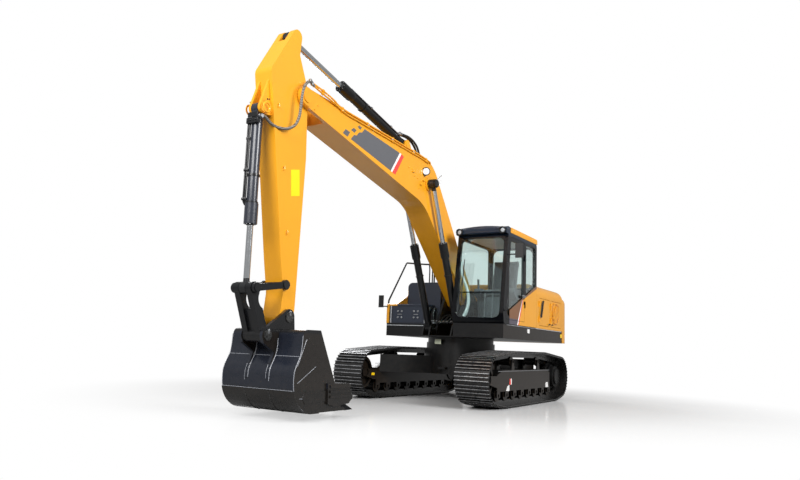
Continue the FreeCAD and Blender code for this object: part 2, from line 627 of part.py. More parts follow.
# ---- house
def deck():
    """Swing platform: floor plate, edge beams, boom bracket plates and the bearing's upper ring."""
    floor = slab_z([(DECK_FRONT, CAB_INNER - 60.0), (DECK_FRONT, HALF_HOUSE - 10.0),
                    (HOUSE_REAR, HALF_HOUSE - 10.0),
                    (HOUSE_REAR, -HALF_HOUSE + 10.0), (TOOL_BOX_FRONT, -HALF_HOUSE + 10.0),
                    (TOOL_BOX_FRONT, TOOL_BOX_INNER), (BOOM_CYLINDER_FOOT_X + 160.0, TOOL_BOX_INNER + 40.0),
                    (BOOM_CYLINDER_FOOT_X + 160.0,
                     CAB_INNER - 60.0)], DECK_BOTTOM, DECK_BOTTOM + DECK_PLATE)
    pieces = [floor]
    z0 = DECK_BOTTOM
    z1 = DECK_TOP
    edge = HALF_HOUSE - 10.0
    w = BEAM_WIDTH
    pieces.append(block(HOUSE_REAR, DECK_FRONT, edge - w, edge, z0, z1))
    pieces.append(block(HOUSE_REAR, TOOL_BOX_FRONT, -edge, -edge + w, z0, z1))
    pieces.append(block(DECK_FRONT - w, DECK_FRONT, CAB_INNER, edge, z0, z1))
    pieces.append(block(HOUSE_REAR, DECK_FRONT, CAB_INNER, CAB_INNER + w, z0, z1))
    pieces.append(block(TOOL_BOX_FRONT - w, TOOL_BOX_FRONT, -edge, TOOL_BOX_INNER, z0, z1))
    pieces.append(block(HOUSE_REAR, TOOL_BOX_FRONT, TOOL_BOX_INNER - w, TOOL_BOX_INNER, z0, z1))
    pieces.append(block(CAB_REAR - w, CAB_REAR, CAB_INNER, edge, z0, z1))
    pieces.append(block(TOOL_BOX_REAR - 2 * w, TOOL_BOX_REAR, -edge, TOOL_BOX_INNER, z0, z1))
    pieces.append(block(HOUSE_REAR, HOUSE_REAR + w, -edge, edge, z0, z1 - 60.0))
    foot = BOOM_FOOT
    lug = BOOM_CYLINDER_FOOT
    bracket_inner = HALF_BOOM + 5.0 + SIDE_CLEARANCE
    bracket_outer = bracket_inner + 42.0
    profile = [(HOUSE_REAR + 20.0, DECK_BOTTOM), (HOUSE_REAR + 20.0, DECK_TOP - 20.0),
               (-900.0, DECK_TOP, 300.0),
               (foot[0] - 190.0, foot[1] + 20.0, 60.0), (foot[0] - 60.0, foot[1] + 170.0, 120.0),
               (foot[0] + 130.0, foot[1] + 150.0, 120.0), (lug[0] - 190.0, lug[1] + 40.0, 90.0),
               (lug[0] - 150.0, DECK_BOTTOM + DECK_PLATE),
               (lug[0] + 160.0, DECK_BOTTOM + DECK_PLATE), (lug[0] + 160.0, DECK_BOTTOM)]
    for side in (-1, 1):
        y0, y1 = sorted((side * bracket_inner, side * bracket_outer))
        pieces.append(slab_y(profile, y0, y1))
        eye_half = EYE_WIDTH / 2
        for offset in (-eye_half - SIDE_CLEARANCE - 28.0, eye_half + SIDE_CLEARANCE):
            y2, y3 = sorted((side * (BOOM_CYLINDER_Y + offset), side * (BOOM_CYLINDER_Y + offset + 28.0)))
            left = tangent_pair((lug[0] - 150.0, DECK_BOTTOM), 0.0, lug, BOSS_RADIUS, 1)[1]
            right = tangent_pair(lug, BOSS_RADIUS, (lug[0] + 150.0, DECK_BOTTOM), 0.0, 1)[0]
            pieces.append(slab_y([(lug[0] - 150.0, DECK_BOTTOM), left, right,
                                  (lug[0] + 150.0, DECK_BOTTOM)], y2, y3))
            pieces.append(bar_y(lug, BOSS_RADIUS, y2, y3))
    pieces.append(bar_z(0, 0, BEARING_RADIUS - 25.0, BEARING_TOP + BEARING_GAP, DECK_BOTTOM + 1))
    body = joined(pieces)
    centre_hole = bar_z(0, 0, BEARING_BORE_RADIUS, BEARING_TOP, DECK_BOTTOM - 20.0)
    foot_hole = bar_y(foot, HOLE_RADIUS, -HALF_HOUSE, HALF_HOUSE)
    lug_hole = bar_y(lug, HOLE_RADIUS, -CAB_INNER - 20.0, CAB_INNER + 20.0)
    return body.cut(centre_hole).cut(foot_hole).cut(lug_hole)


def counterweight():
    """Cast counterweight: round tail on the swing axis, rounded corners and crown, open front pocket."""
    corner = COUNTERWEIGHT_CORNER
    shoulder = -TAIL_RADIUS + 330.0
    flat = HALF_HOUSE * 0.52
    plan = [(HOUSE_REAR, -HALF_HOUSE), (HOUSE_REAR, HALF_HOUSE), (shoulder, HALF_HOUSE, corner),
            (-TAIL_RADIUS + 20.0, flat, 2.0 * corner), (-TAIL_RADIUS + 20.0, -flat, 2.0 * corner),
            (shoulder, -HALF_HOUSE, corner)]
    body = slab_z(plan, DECK_BOTTOM, COUNTERWEIGHT_TOP)
    rim = []
    for edge in body.Edges:
        box = edge.BoundBox
        if box.ZMin > COUNTERWEIGHT_TOP - 1 and box.XMin < HOUSE_REAR - 10.0:
            rim.append(edge)
    body = body.makeFillet(COUNTERWEIGHT_CROWN, rim)
    low = DECK_BOTTOM + 130.0
    high = COUNTERWEIGHT_TOP - 150.0
    wide = HALF_HOUSE - 130.0
    deep = HALF_HOUSE - 470.0
    body = body.cut(block(HOUSE_REAR - 240.0, HOUSE_REAR + 1, -wide, wide, low, high))
    body = body.cut(block(HOUSE_REAR - 510.0, HOUSE_REAR, -deep, deep, low, high))
    lugs = []
    for y in (-560.0, 560.0):
        x = HOUSE_REAR - 220.0
        lug = slab_y([(x - 85.0, COUNTERWEIGHT_TOP - 5.0), (x - 55.0, COUNTERWEIGHT_TOP + 105.0, 50.0),
                      (x + 55.0, COUNTERWEIGHT_TOP + 105.0, 50.0), (x + 85.0, COUNTERWEIGHT_TOP - 5.0)],
                     y - 25.0, y + 25.0)
        lugs.append(lug.cut(bar_y((x, COUNTERWEIGHT_TOP + 55.0), 28.0, y - 30.0, y + 30.0)))
    return joined([body] + lugs)


def skin_profile(side, inner_edge):
    """Y-Z outline of a house skin: side wall, round shoulder and top strip."""
    outer = HALF_HOUSE
    top = HOUSE_TOP
    r = HOUSE_SHOULDER
    t = SKIN
    points = [(outer, DECK_TOP, 0.0), (outer, top, r), (inner_edge, top, 0.0), (inner_edge, top - t, 0.0),
              (outer - t, top - t, r - t), (outer - t, DECK_TOP, 0.0)]
    return [(side * a, b, c) for a, b, c in points]


def door_opening(x0, x1, side):
    y0, y1 = sorted((side * (HALF_HOUSE - SKIN - 5.0), side * (HALF_HOUSE + 5.0)))
    return slab_y([(x0, DOOR_SILL, 40.0), (x1, DOOR_SILL, 40.0), (x1, DOOR_HEAD, 40.0),
                   (x0, DOOR_HEAD, 40.0)], y0, y1)


def door_panel(x0, x1, side):
    """Outer door of the house, as thick as the skin, with its hinge barrel on the front edge."""
    g = PANEL_GAP
    y0, y1 = sorted((side * (HALF_HOUSE - SKIN), side * HALF_HOUSE))
    panel = slab_y([(x0 + g, DOOR_SILL + g, 34.0), (x1 - g, DOOR_SILL + g, 34.0),
                    (x1 - g, DOOR_HEAD - g, 34.0),
                    (x0 + g, DOOR_HEAD - g, 34.0)], y0, y1)
    return joined([panel] + door_hinges(x1, side, -1, True))


def door_hinges(x1, side, toward, upper):
    halves = []
    for z in (DOOR_SILL + 60.0, DOOR_HEAD - 60.0 - 2 * KNUCKLE):
        halves += hinge_z(x1 - PANEL_GAP / 2, side * HALF_HOUSE, z, toward, upper)
    return halves


def hinge_z(x, face_y, z, toward, upper):
    """Half of a vertical hinge on a side face: knuckle and leaf, the upper or the lower half."""
    side = 1 if face_y > 0 else -1
    y = face_y + side * HINGE_RADIUS
    z0 = z + (KNUCKLE + GLASS_GAP if upper else 0.0)
    leaf_y = sorted((face_y - side * 1.0, face_y + side * LEAF))
    leaf_x = sorted((x, x + toward * LEAF_LENGTH))
    return [bar_z(x, y, HINGE_RADIUS, z0, z0 + KNUCKLE), block(*leaf_x, *leaf_y, z0, z0 + KNUCKLE)]


def hinge_y(x, z, y, toward, face_z):
    """Half of a level hinge on a top face: knuckle and leaf reaching forward or back."""
    leaf_x = sorted((x, x + toward * LEAF_LENGTH))
    return [bar_y((x, z), HINGE_RADIUS, y, y + KNUCKLE),
            block(*leaf_x, y, y + KNUCKLE, face_z - 1.0, face_z + LEAF)]


def left_house():
    """Fixed skin of the left side behind the cab, with its two door openings."""
    body = slab_x(skin_profile(1, HOOD_WIDTH / 2 + PANEL_GAP), HOUSE_REAR, HOUSE_FRONT_LEFT)
    hinges = []
    for x0, x1 in LEFT_DOORS:
        body = body.cut(door_opening(x0, x1, 1))
        hinges += door_hinges(x1, 1, 1, False)
    wall = slab_x([(HOOD_WIDTH / 2 + PANEL_GAP, DECK_TOP), (HALF_HOUSE - SKIN, DECK_TOP),
                   (HALF_HOUSE - SKIN, HOUSE_TOP - SKIN, HOUSE_SHOULDER - SKIN),
                   (HOOD_WIDTH / 2 + PANEL_GAP,
                    HOUSE_TOP - SKIN)], HOUSE_FRONT_LEFT - SKIN, HOUSE_FRONT_LEFT)
    return joined([body, wall] + hinges)


def above_slope(drop):
    """Everything above the slope of the right side, the slope lowered by a drop."""
    rise = math.tan(math.radians(SLOPE_ANGLE))
    level = HOUSE_TOP + 40.0
    low = SLOPE_FOOT - drop
    ahead = TOOL_BOX_FRONT + 20.0
    return slab_y([(ahead, low - 20.0 * rise), (ahead, level),
                   (TOOL_BOX_FRONT - (level - low) / rise, level)],
                  -HALF_HOUSE - 5.0, -HOOD_WIDTH / 2)


def right_house():
    """Fixed skin of the right side, with the bay outside the tank that slopes down to the tool box."""
    split = TANK_REAR - PANEL_GAP
    body = slab_x(skin_profile(-1, HOOD_WIDTH / 2 + PANEL_GAP), HOUSE_REAR, split)
    body = body.cut(door_opening(RIGHT_DOOR[0], RIGHT_DOOR[1], -1))
    t = SKIN
    inner = -SIDE_BAY_INNER
    bay = slab_x([(-HALF_HOUSE, DECK_TOP), (-HALF_HOUSE, HOUSE_TOP, HOUSE_SHOULDER), (inner, HOUSE_TOP),
                  (inner, DECK_TOP)], split - 2.0, TOOL_BOX_FRONT).cut(above_slope(0.0))
    room = slab_x([(-HALF_HOUSE + t, DECK_TOP - 1), (-HALF_HOUSE + t, HOUSE_TOP - t, HOUSE_SHOULDER - t),
                   (inner - t, HOUSE_TOP - t), (inner - t, DECK_TOP - 1)], split - 3.0, TOOL_BOX_FRONT - t)
    bay = bay.cut(room.cut(above_slope(t / math.cos(math.radians(SLOPE_ANGLE)))))
    bay = bay.cut(block(TOOL_BOX_REAR - 8.0, TOOL_BOX_FRONT + 1.0, TOOL_BOX_OUTER - 5.0, inner + 1.0,
                        DECK_TOP - 1, TOOL_BOX_TOP + 0.3))
    return joined([body, bay] + door_hinges(RIGHT_DOOR[1], -1, 1, False))


def tank():
    """Tank housing beside the boom foot: sheet box with a round outer shoulder, open below."""
    t = 10.0
    r = TANK_SHOULDER
    outer = slab_x([(TANK_INNER, DECK_TOP), (TANK_INNER, TANK_TOP, 40.0), (TANK_OUTER, TANK_TOP, r),
                    (TANK_OUTER, DECK_TOP)], TANK_REAR, TANK_FRONT)
    inner = slab_x([(TANK_INNER - t, DECK_TOP - 1), (TANK_INNER - t, TANK_TOP - t, 30.0),
                    (TANK_OUTER + t, TANK_TOP - t, r - t), (TANK_OUTER + t, DECK_TOP - 1)],
                   TANK_REAR + t, TANK_FRONT - t)
    return outer.cut(inner)


def tool_box():
    """Open box ahead of the tank, level on top under its lid."""
    y0 = TOOL_BOX_OUTER
    y1 = TOOL_BOX_INNER
    t = 25.0
    body = block(TOOL_BOX_REAR, TOOL_BOX_FRONT, y0, y1, DECK_TOP, TOOL_BOX_TOP)
    body = body.cut(block(TOOL_BOX_REAR + t, TOOL_BOX_FRONT - t, y0 + t, y1 - t, DECK_TOP + t,
                          TOOL_BOX_TOP + 1.0))
    x, z = lid_axis()
    halves = []
    for y in LID_HINGES:
        halves.append(bar_y((x, z), HINGE_RADIUS, y, y + KNUCKLE))
        halves.append(block(x - LEAF, x + 1.0, y, y + KNUCKLE, TOOL_BOX_TOP - 50.0, z))
    return joined([body] + halves)


def tool_box_lid():
    """Level lid of the tool box, with its halves of the hinges."""
    low = TOOL_BOX_TOP + LID_GAP
    high = low + LID_THICKNESS
    lid = slab_y([(TOOL_BOX_REAR + 8.0, low), (TOOL_BOX_FRONT, low), (TOOL_BOX_FRONT, high, 12.0),
                  (TOOL_BOX_REAR + 8.0, high, 12.0)], PANEL_GAP - SIDE_BAY_INNER, TOOL_BOX_INNER)
    x, z = lid_axis()
    pieces = [lid]
    for y in LID_HINGES:
        y0 = y + KNUCKLE + GLASS_GAP
        pieces.append(bar_y((x, z), HINGE_RADIUS, y0, y0 + KNUCKLE))
        pieces.append(slab_y([(x, z + 3.0), (x, z - 4.0), (x + 10.0, high - 1.0), (x + 70.0, high - 1.0),
                              (x + 60.0, high + LEAF)], y0, y0 + KNUCKLE))
    return joined(pieces)


def lid_axis():
    return (TOOL_BOX_REAR, TOOL_BOX_TOP + LID_GAP + LID_THICKNESS + HINGE_RADIUS)


def hood():
    """Engine hood: shallow lid with a sloping front and turned-down sides."""
    half = HOOD_WIDTH / 2 - PANEL_GAP
    z0 = HOUSE_TOP - SKIN
    z1 = HOUSE_TOP + HOOD_RISE
    rear = HOUSE_REAR + PANEL_GAP
    shell = slab_y([(rear, z0), (rear, z1, 60.0), (HOOD_FRONT - 130.0, z1, 60.0), (HOOD_FRONT, HOUSE_TOP),
                    (HOOD_FRONT, z0)], -half, half)
    inside = slab_y([(rear + SKIN, z0 - 1), (rear + SKIN, z1 - SKIN), (HOOD_FRONT - 150.0, z1 - SKIN),
                     (HOOD_FRONT - 60.0, z0 - 1)], -half + SKIN, half - SKIN)
    body = shell.cut(inside)
    x = HOOD_FRONT + PANEL_GAP / 2
    halves = []
    for y in [start + KNUCKLE + GLASS_GAP for start in HOOD_HINGES]:
        halves += [bar_y((x, HOUSE_TOP + HINGE_RISE), HINGE_RADIUS, y, y + KNUCKLE),
                   slab_y([(x, HOUSE_TOP + HINGE_RISE + 8.0), (x, HOUSE_TOP + HINGE_RISE - 8.0),
                           (HOOD_FRONT - 50.0, HOUSE_TOP),
                           (HOOD_FRONT - 90.0, HOUSE_TOP + HINGE_RISE + 8.0)], y, y + KNUCKLE)]
    return joined([body] + halves)


def bulkhead_cover():
    """Fixed top cover between cab, tank and hood, behind the boom foot."""
    z1 = HOUSE_TOP
    x1 = CAB_REAR - 20.0
    x0 = HOOD_FRONT + PANEL_GAP
    low = BOOM_FOOT_Z - 130.0
    outline = [(x0, z1 - SKIN), (x0, z1), (x1, z1, 80.0), (x1, low), (x1 - SKIN, low),
               (x1 - SKIN, z1 - SKIN, 58.0)]
    cover = slab_y(outline, TANK_INNER + 0.3, HOOD_WIDTH / 2 + PANEL_GAP - 0.3)
    halves = []
    for y in HOOD_HINGES:
        halves += hinge_y(x0 - PANEL_GAP / 2, z1 + HINGE_RISE, y, 1, z1)
    return joined([cover] + halves)


def engine():
    """Engine with pump and cooler as one block across the rear bay."""
    x1 = HOUSE_REAR + 110.0 + ENGINE_WIDTH
    z0 = DECK_TOP
    return block(x1 - ENGINE_WIDTH, x1, -ENGINE_LENGTH / 2, ENGINE_LENGTH / 2, z0, z0 + ENGINE_HEIGHT)


def handrails():
    """Tube rail from the slope beside the tool box up and back to the house roof."""
    y = -HALF_HOUSE + 25.0
    x = TOOL_BOX_FRONT - 20.0
    foot = SLOPE_FOOT + 20.0 * math.tan(math.radians(SLOPE_ANGLE)) + 0.3 + RAIL_RADIUS * 0.5
    level = HOUSE_TOP + RAIL_HEIGHT
    points = [V(x, y, foot), V(x, y, foot + 60.0), V(-75.0, y, level - 60.0), V(TANK_REAR + 40.0, y, level),
              V(TANK_REAR - 110.0, y + 235.0, level), V(TANK_REAR - 110.0, y + 235.0, HOUSE_TOP + 0.3)]
    return tube_path(points, RAIL_RADIUS)


# ---- cab
def cab_outline(inset):
    """Side outline of the cab, drawn in by an inset."""
    return [(CAB_REAR + inset, CAB_FLOOR + inset, 30.0), (CAB_FRONT - inset, CAB_FLOOR + inset, 60.0),
            (CAB_NOSE - inset, CAB_FLOOR + 180.0, 100.0), (CAB_TOP_FRONT - inset, CAB_TOP - inset, 60.0),
            (CAB_REAR + inset, CAB_TOP - inset, 60.0)]


def front_x(z):
    """X of the cab's front face at a height above its nose."""
    share = (z - CAB_FLOOR - 180.0) / (CAB_TOP - CAB_FLOOR - 180.0)
    return CAB_NOSE + share * (CAB_TOP_FRONT - CAB_NOSE)


def side_door_corners(gap):
    """Outline of the cab door opening, drawn in by a gap."""
    top = WINDOW_HEAD + 25.0 - gap
    low = CAB_FLOOR + 75.0 + gap
    return [(DOOR_REAR + gap, low, 60.0), (DOOR_FRONT + 60.0 - gap, low, 90.0),
            (DOOR_FRONT + 75.0 - gap, CAB_FLOOR + 260.0, 200.0), (DOOR_FRONT - 85.0 - gap, top, 90.0),
            (DOOR_REAR + gap, top, 60.0)]


def quarter_corners(gap):
    return [(CAB_REAR + 85.0 + gap, QUARTER_SILL + gap, 60.0),
            (DOOR_REAR - 75.0 - gap, QUARTER_SILL - 330.0 + gap, 60.0),
            (DOOR_REAR - 75.0 - gap, WINDOW_HEAD - gap, 60.0), (CAB_REAR + 85.0 + gap, WINDOW_HEAD - gap,
                                                                60.0)]


def right_window_corners(gap):
    return [(CAB_REAR + 120.0 + gap, CAB_FLOOR + 560.0 + gap, 70.0),
            (CAB_FRONT - 150.0 - gap, CAB_FLOOR + 300.0 + gap, 90.0),
            (CAB_TOP_FRONT - 75.0 - gap, WINDOW_HEAD - gap, 70.0), (CAB_REAR + 120.0 + gap,
                                                                    WINDOW_HEAD - gap, 70.0)]


def end_window(gap, low):
    """Y-Z outline of the front or rear window."""
    return [(CAB_INNER + 75.0 + gap, low + gap, 110.0), (CAB_OUTER - 75.0 - gap, low + gap, 110.0),
            (CAB_OUTER - 75.0 - gap, WINDOW_HEAD - gap, 110.0), (CAB_INNER + 75.0 + gap,
                                                                 WINDOW_HEAD - gap, 110.0)]


def cab_shell():
    """Hollow cab frame with openings for windscreen, door, side and rear windows and roof hatch."""
    body = slab_y(cab_outline(0.0), CAB_INNER, CAB_OUTER)
    body = body.cut(slab_y(cab_outline(CAB_WALL), CAB_INNER + CAB_WALL, CAB_OUTER - CAB_WALL))
    body = body.cut(slab_x(end_window(0.0, WINDOW_SILL), CAB_TOP_FRONT - CAB_WALL - 40.0, CAB_NOSE + 20.0))
    body = body.cut(slab_x(end_window(0.0, CAB_FLOOR + 760.0), CAB_REAR - 20.0, CAB_REAR + CAB_WALL + 20.0))
    body = body.cut(slab_y(side_door_corners(0.0), CAB_OUTER - CAB_WALL - 20.0, CAB_OUTER + 20.0))
    body = body.cut(slab_y(quarter_corners(0.0), CAB_OUTER - CAB_WALL - 20.0, CAB_OUTER + 20.0))
    body = body.cut(slab_y(right_window_corners(0.0), CAB_INNER - 20.0, CAB_INNER + CAB_WALL + 20.0))
    return joined([body, visor()] + cab_hinges(-1, False))


def visor():
    """Hood over the windscreen, joined to the frame, with a round pocket for each work lamp."""
    reach = VISOR_REACH
    hood_edge = slab_y([(ROOF_FRONT + 10.0, CAB_TOP - 20.0), (ROOF_FRONT + 10.0, CAB_TOP + 90.0),
                        (reach - 90.0, CAB_TOP + 102.0, 60.0), (reach - 10.0, CAB_TOP + 68.0, 25.0),
                        (reach, CAB_TOP - 25.0, 20.0), (reach - 70.0,
                                                        CAB_TOP - 35.0)], CAB_INNER, CAB_OUTER)
    for y in LAMP_STATIONS:
        hood_edge = hood_edge.cut(Part.makeCylinder(LAMP_RADIUS + 5.0, 100.0, V(reach - 65.0, y, LAMP_Z),
                                                    V(1, 0, 0)))
    return hood_edge


def cab_hinges(toward, upper):
    halves = []
    for z in (CAB_FLOOR + 330.0, CAB_TOP - 420.0):
        halves += hinge_z(DOOR_REAR + DOOR_GAP / 2, CAB_OUTER, z, toward, upper)
    return halves


def cab_roof():
    """Roof panel over the frame, behind the visor."""
    z0 = CAB_TOP
    z1 = CAB_TOP + ROOF_THICKNESS
    t = 12.0
    outer = slab_y([(CAB_REAR - 15.0, z0), (CAB_REAR - 15.0, z1, 45.0), (ROOF_FRONT, z1, 20.0),
                    (ROOF_FRONT, z0)],
                   CAB_INNER - 5.0, CAB_OUTER + 5.0)
    room = block(CAB_REAR + t, ROOF_FRONT - t, CAB_INNER + t, CAB_OUTER - t, z0 - 1.0, z1 - t)
    return outer.cut(room)


def leaning_pane(gap):
    """Windscreen: the window outline cut from a sheet that leans with the cab's front face."""
    sheet = slab_y([(front_x(WINDOW_SILL - 50.0) - 20.0, WINDOW_SILL - 50.0),
                    (front_x(WINDOW_SILL - 50.0) - 20.0 - GLASS, WINDOW_SILL - 50.0),
                    (front_x(CAB_TOP) - 20.0 - GLASS, CAB_TOP), (front_x(CAB_TOP) - 20.0, CAB_TOP)],
                   CAB_INNER, CAB_OUTER)
    return sheet.common(slab_x(end_window(gap, WINDOW_SILL), CAB_TOP_FRONT - 200.0, CAB_NOSE + 20.0))


def cab_windows():
    """Fixed panes: windscreen, rear, right and left quarter windows."""
    g = GLASS_GAP
    panes = [leaning_pane(g)]
    panes.append(slab_x(end_window(g, CAB_FLOOR + 760.0), CAB_REAR + 20.0, CAB_REAR + 20.0 + GLASS))
    panes.append(slab_y(quarter_corners(g), CAB_OUTER - 20.0 - GLASS, CAB_OUTER - 20.0))
    panes.append(slab_y(right_window_corners(g), CAB_INNER + 20.0, CAB_INNER + 20.0 + GLASS))
    return panes


def door_window_corners(gap):
    inset = 62.0 + gap
    return [(a + (inset if i in (0, 4) else -inset),
             b + (inset if i in (0, 1) else (-inset if i > 2 else 0.0)), c)
            for i, (a, b, c) in enumerate(side_door_corners(DOOR_GAP))]


def cab_door():
    """Cab door: frame as thick as the cab wall's outer part, with one tall window."""
    y1 = CAB_OUTER
    y0 = CAB_OUTER - DOOR_THICKNESS
    frame = slab_y(side_door_corners(DOOR_GAP), y0, y1)
    frame = frame.cut(slab_y(door_window_corners(0.0), y0 - 5.0, y1 + 5.0))
    return joined([frame] + cab_hinges(1, True))


def cab_door_window():
    return slab_y(door_window_corners(GLASS_GAP), CAB_OUTER - 20.0 - GLASS, CAB_OUTER - 20.0)


def seat():
    """Operator's seat: cushion, backrest and headrest as one closed form."""
    side = [(SEAT_X + 260.0, SEAT_HEIGHT, 40.0), (SEAT_X + 260.0, SEAT_HEIGHT + 120.0, 50.0),
            (SEAT_X - 170.0, SEAT_HEIGHT + 100.0, 60.0), (SEAT_X - 300.0, SEAT_BACK_TOP, 45.0),
            (SEAT_X - 410.0, SEAT_BACK_TOP - 20.0, 35.0), (SEAT_X - 270.0, SEAT_HEIGHT, 60.0)]
    return slab_y(side, SEAT_Y - 250.0, SEAT_Y + 250.0)


def consoles():
    """Seat stand with a console and lever on each side, and the travel pedals' post ahead."""
    floor = CAB_FLOOR + CAB_WALL
    stand = block(SEAT_X - 220.0, SEAT_X + 200.0, SEAT_Y - 190.0, SEAT_Y + 190.0, floor, SEAT_HEIGHT - 0.5)
    pieces = [stand]
    for side in (-1, 1):
        y0, y1 = sorted((SEAT_Y + side * 275.0, SEAT_Y + side * 395.0))
        pieces.append(slab_y([(SEAT_X - 200.0, floor), (SEAT_X - 250.0, SEAT_HEIGHT + 130.0, 40.0),
                              (SEAT_X + 260.0, SEAT_HEIGHT + 160.0, 60.0), (SEAT_X + 290.0,
                                                                            SEAT_HEIGHT + 60.0, 50.0),
                              (SEAT_X + 120.0, SEAT_HEIGHT - 60.0, 60.0), (SEAT_X + 60.0, floor)], y0, y1))
        pieces.append(block(SEAT_X - 100.0, SEAT_X + 50.0,
                            *sorted((SEAT_Y + side * 180.0, SEAT_Y + side * 280.0)),
                            floor, floor + 120.0))
        foot = V(SEAT_X + 210.0, SEAT_Y + side * 335.0, SEAT_HEIGHT + 120.0)
        pieces.append(bar(foot, foot + V(20.0, 0, 210.0), 20.0))
    return joined(pieces)


def pedals():
    """The two travel pedals with their levers."""
    floor = CAB_FLOOR + CAB_WALL
    pieces = []
    for side in (-1, 1):
        y = SEAT_Y + side * 75.0
        base = V(SEAT_X + 560.0, y, floor + 8.0)
        pieces.append(joined([bar(base, base + V(-60.0, 0, 560.0), 12.0),
                              block(SEAT_X + 500.0, SEAT_X + 680.0, y - 50.0, y + 50.0, floor,
                                    floor + 30.0)]))
    return pieces


def mirrors():
    """Rear-view mirrors: one on the cab's front left post, one on the right front corner."""
    x = front_x(MIRROR_Z) - 32.0
    y = CAB_OUTER + 135.0
    left = [bar_y((x, MIRROR_Z - 60.0), 12.0, CAB_OUTER + 0.3, y + 20.0),
            block(x - 16.0, x + 16.0, y, y + 140.0, MIRROR_Z - 125.0, MIRROR_Z + 125.0)]
    x = TOOL_BOX_FRONT + 0.3
    y = -HALF_HOUSE + 20.0
    z = TOOL_BOX_TOP - 15.0
    right = [tube_path([V(x, y, z), V(x + 36.0, y, z), V(x + 36.0, y - 110.0, z)], 11.0, 20.0),
             block(x + 20.0, x + 52.0, y - 190.0, y - 90.0, z - 20.0, z + 220.0)]
    return [joined(left), joined(right)]


def work_lamps():
    """Round lamps in the visor's pockets, facing forward."""
    base = VISOR_REACH - 65.0 + 0.3
    lamps = []
    for y in LAMP_STATIONS:
        body = Part.makeCylinder(LAMP_RADIUS, 58.0, V(base, y, LAMP_Z), V(1, 0, 0))
        rim = Part.makeCylinder(LAMP_RADIUS + 3.0, 18.0, V(base + 42.0, y, LAMP_Z), V(1, 0, 0))
        lamps.append(joined([body, rim]))
    return lamps


# ---- boom and arm
def boom_side_outline():
    """Boom outline: tangent lines from foot and nose, meeting at the knee and at the belly."""
    foot = BOOM_FOOT
    nose = ARM_PIVOT
    knee = boom_point(BOOM_KNEE_ALONG, BOOM_KNEE_RISE)
    belly = boom_point(BOOM_BELLY_ALONG, BOOM_BELLY_RISE)
    foot_top = tangent_pair(foot, BOOM_FOOT_RADIUS, knee, 0.0, 1)[0]
    foot_low = tangent_pair(foot, BOOM_FOOT_RADIUS, belly, 0.0, -1)[0]
    nose_top = tangent_pair(knee, 0.0, nose, BOOM_NOSE_RADIUS, 1)[1]
    nose_low = tangent_pair(belly, 0.0, nose, BOOM_NOSE_RADIUS, -1)[1]
    return [foot_top, knee + (BOOM_KNEE_ROUND,), nose_top, nose_low, belly + (BOOM_BELLY_ROUND,), foot_low]


def boom_band(along0, along1, y0, y1):
    """Block across the boom between two stations along it."""
    reach = 3000.0
    return slab_y([boom_point(along0, -reach), boom_point(along1, -reach), boom_point(along1, reach),
                   boom_point(along0, reach)], y0, y1)


def boom():
    """Welded box boom: foot boss, knee, rod-pin boss, cylinder ears and forked nose."""
    outline = boom_side_outline()
    solid = slab_y(outline, -HALF_BOOM, HALF_BOOM)
    wire = rounded_wire(outline, lambda p: V(p[0], 0.0, p[1]))
    inner_face = Part.Face(wire).makeOffset2D(-BOOM_TOP_PLATE)
    half = HALF_BOOM - BOOM_SIDE_PLATE
    inner_face.translate(V(0, -half, 0))
    hollow = inner_face.extrude(V(0, 2 * half, 0))
    hollow = hollow.common(boom_band(420.0, BOOM_LENGTH - NOSE_SLOT - 90.0, -half, half))
    body = solid.cut(hollow)
    slot = boom_band(BOOM_LENGTH - NOSE_SLOT, BOOM_LENGTH + 400.0, -EAR_INNER, EAR_INNER)
    body = body.cut(slot)
    pieces = [body]
    pieces.append(bar_y(BOOM_FOOT, BOOM_FOOT_RADIUS, -HALF_BOOM - 5.0, HALF_BOOM + 5.0))
    pieces.append(bar_y(BOOM_ROD_PIN, 120.0, -HALF_BOOM - 22.0, HALF_BOOM + 22.0))
    for side in (-1, 1):
        y0, y1 = sorted((side * EAR_INNER, side * (HALF_BOOM + 12.0)))
        pieces.append(bar_y(ARM_PIVOT, BOOM_NOSE_RADIUS, y0, y1))
        y2, y3 = sorted((side * (EYE_WIDTH / 2 + SIDE_CLEARANCE),
                         side * (EYE_WIDTH / 2 + SIDE_CLEARANCE + 34.0)))
        base = boom_point(ARM_BASE_PIN_ALONG - 250.0, ARM_BASE_PIN_RISE - 90.0)
        low = boom_point(ARM_BASE_PIN_ALONG, ARM_BASE_PIN_RISE - 220.0)
        tip = boom_point(ARM_BASE_PIN_ALONG + BOSS_RADIUS - 8.0, ARM_BASE_PIN_RISE - 220.0)
        front = boom_point(ARM_BASE_PIN_ALONG + BOSS_RADIUS - 8.0, ARM_BASE_PIN_RISE)
        heel = tangent_pair(base, 0.0, ARM_BASE_PIN, BOSS_RADIUS, 1)[1]
        pieces.append(slab_y([base, heel, ARM_BASE_PIN, front, tip, low], y2, y3))
        pieces.append(bar_y(ARM_BASE_PIN, BOSS_RADIUS, y2, y3))
    body = joined(pieces)
    wide = HALF_BOOM + 60.0
    holes = [bar_y(point, HOLE_RADIUS, -wide, wide) for point in (BOOM_FOOT, ARM_PIVOT, ARM_BASE_PIN)]
    drain = boom_point(420.0, 210.0)
    end = boom_point(700.0, 330.0)
    holes.append(bar(V(drain[0] - 400.0 * 0.8, 0, drain[1] - 400.0 * 0.5), V(end[0], 0, end[1]), 30.0))
    return body.cut(Part.makeCompound(holes))


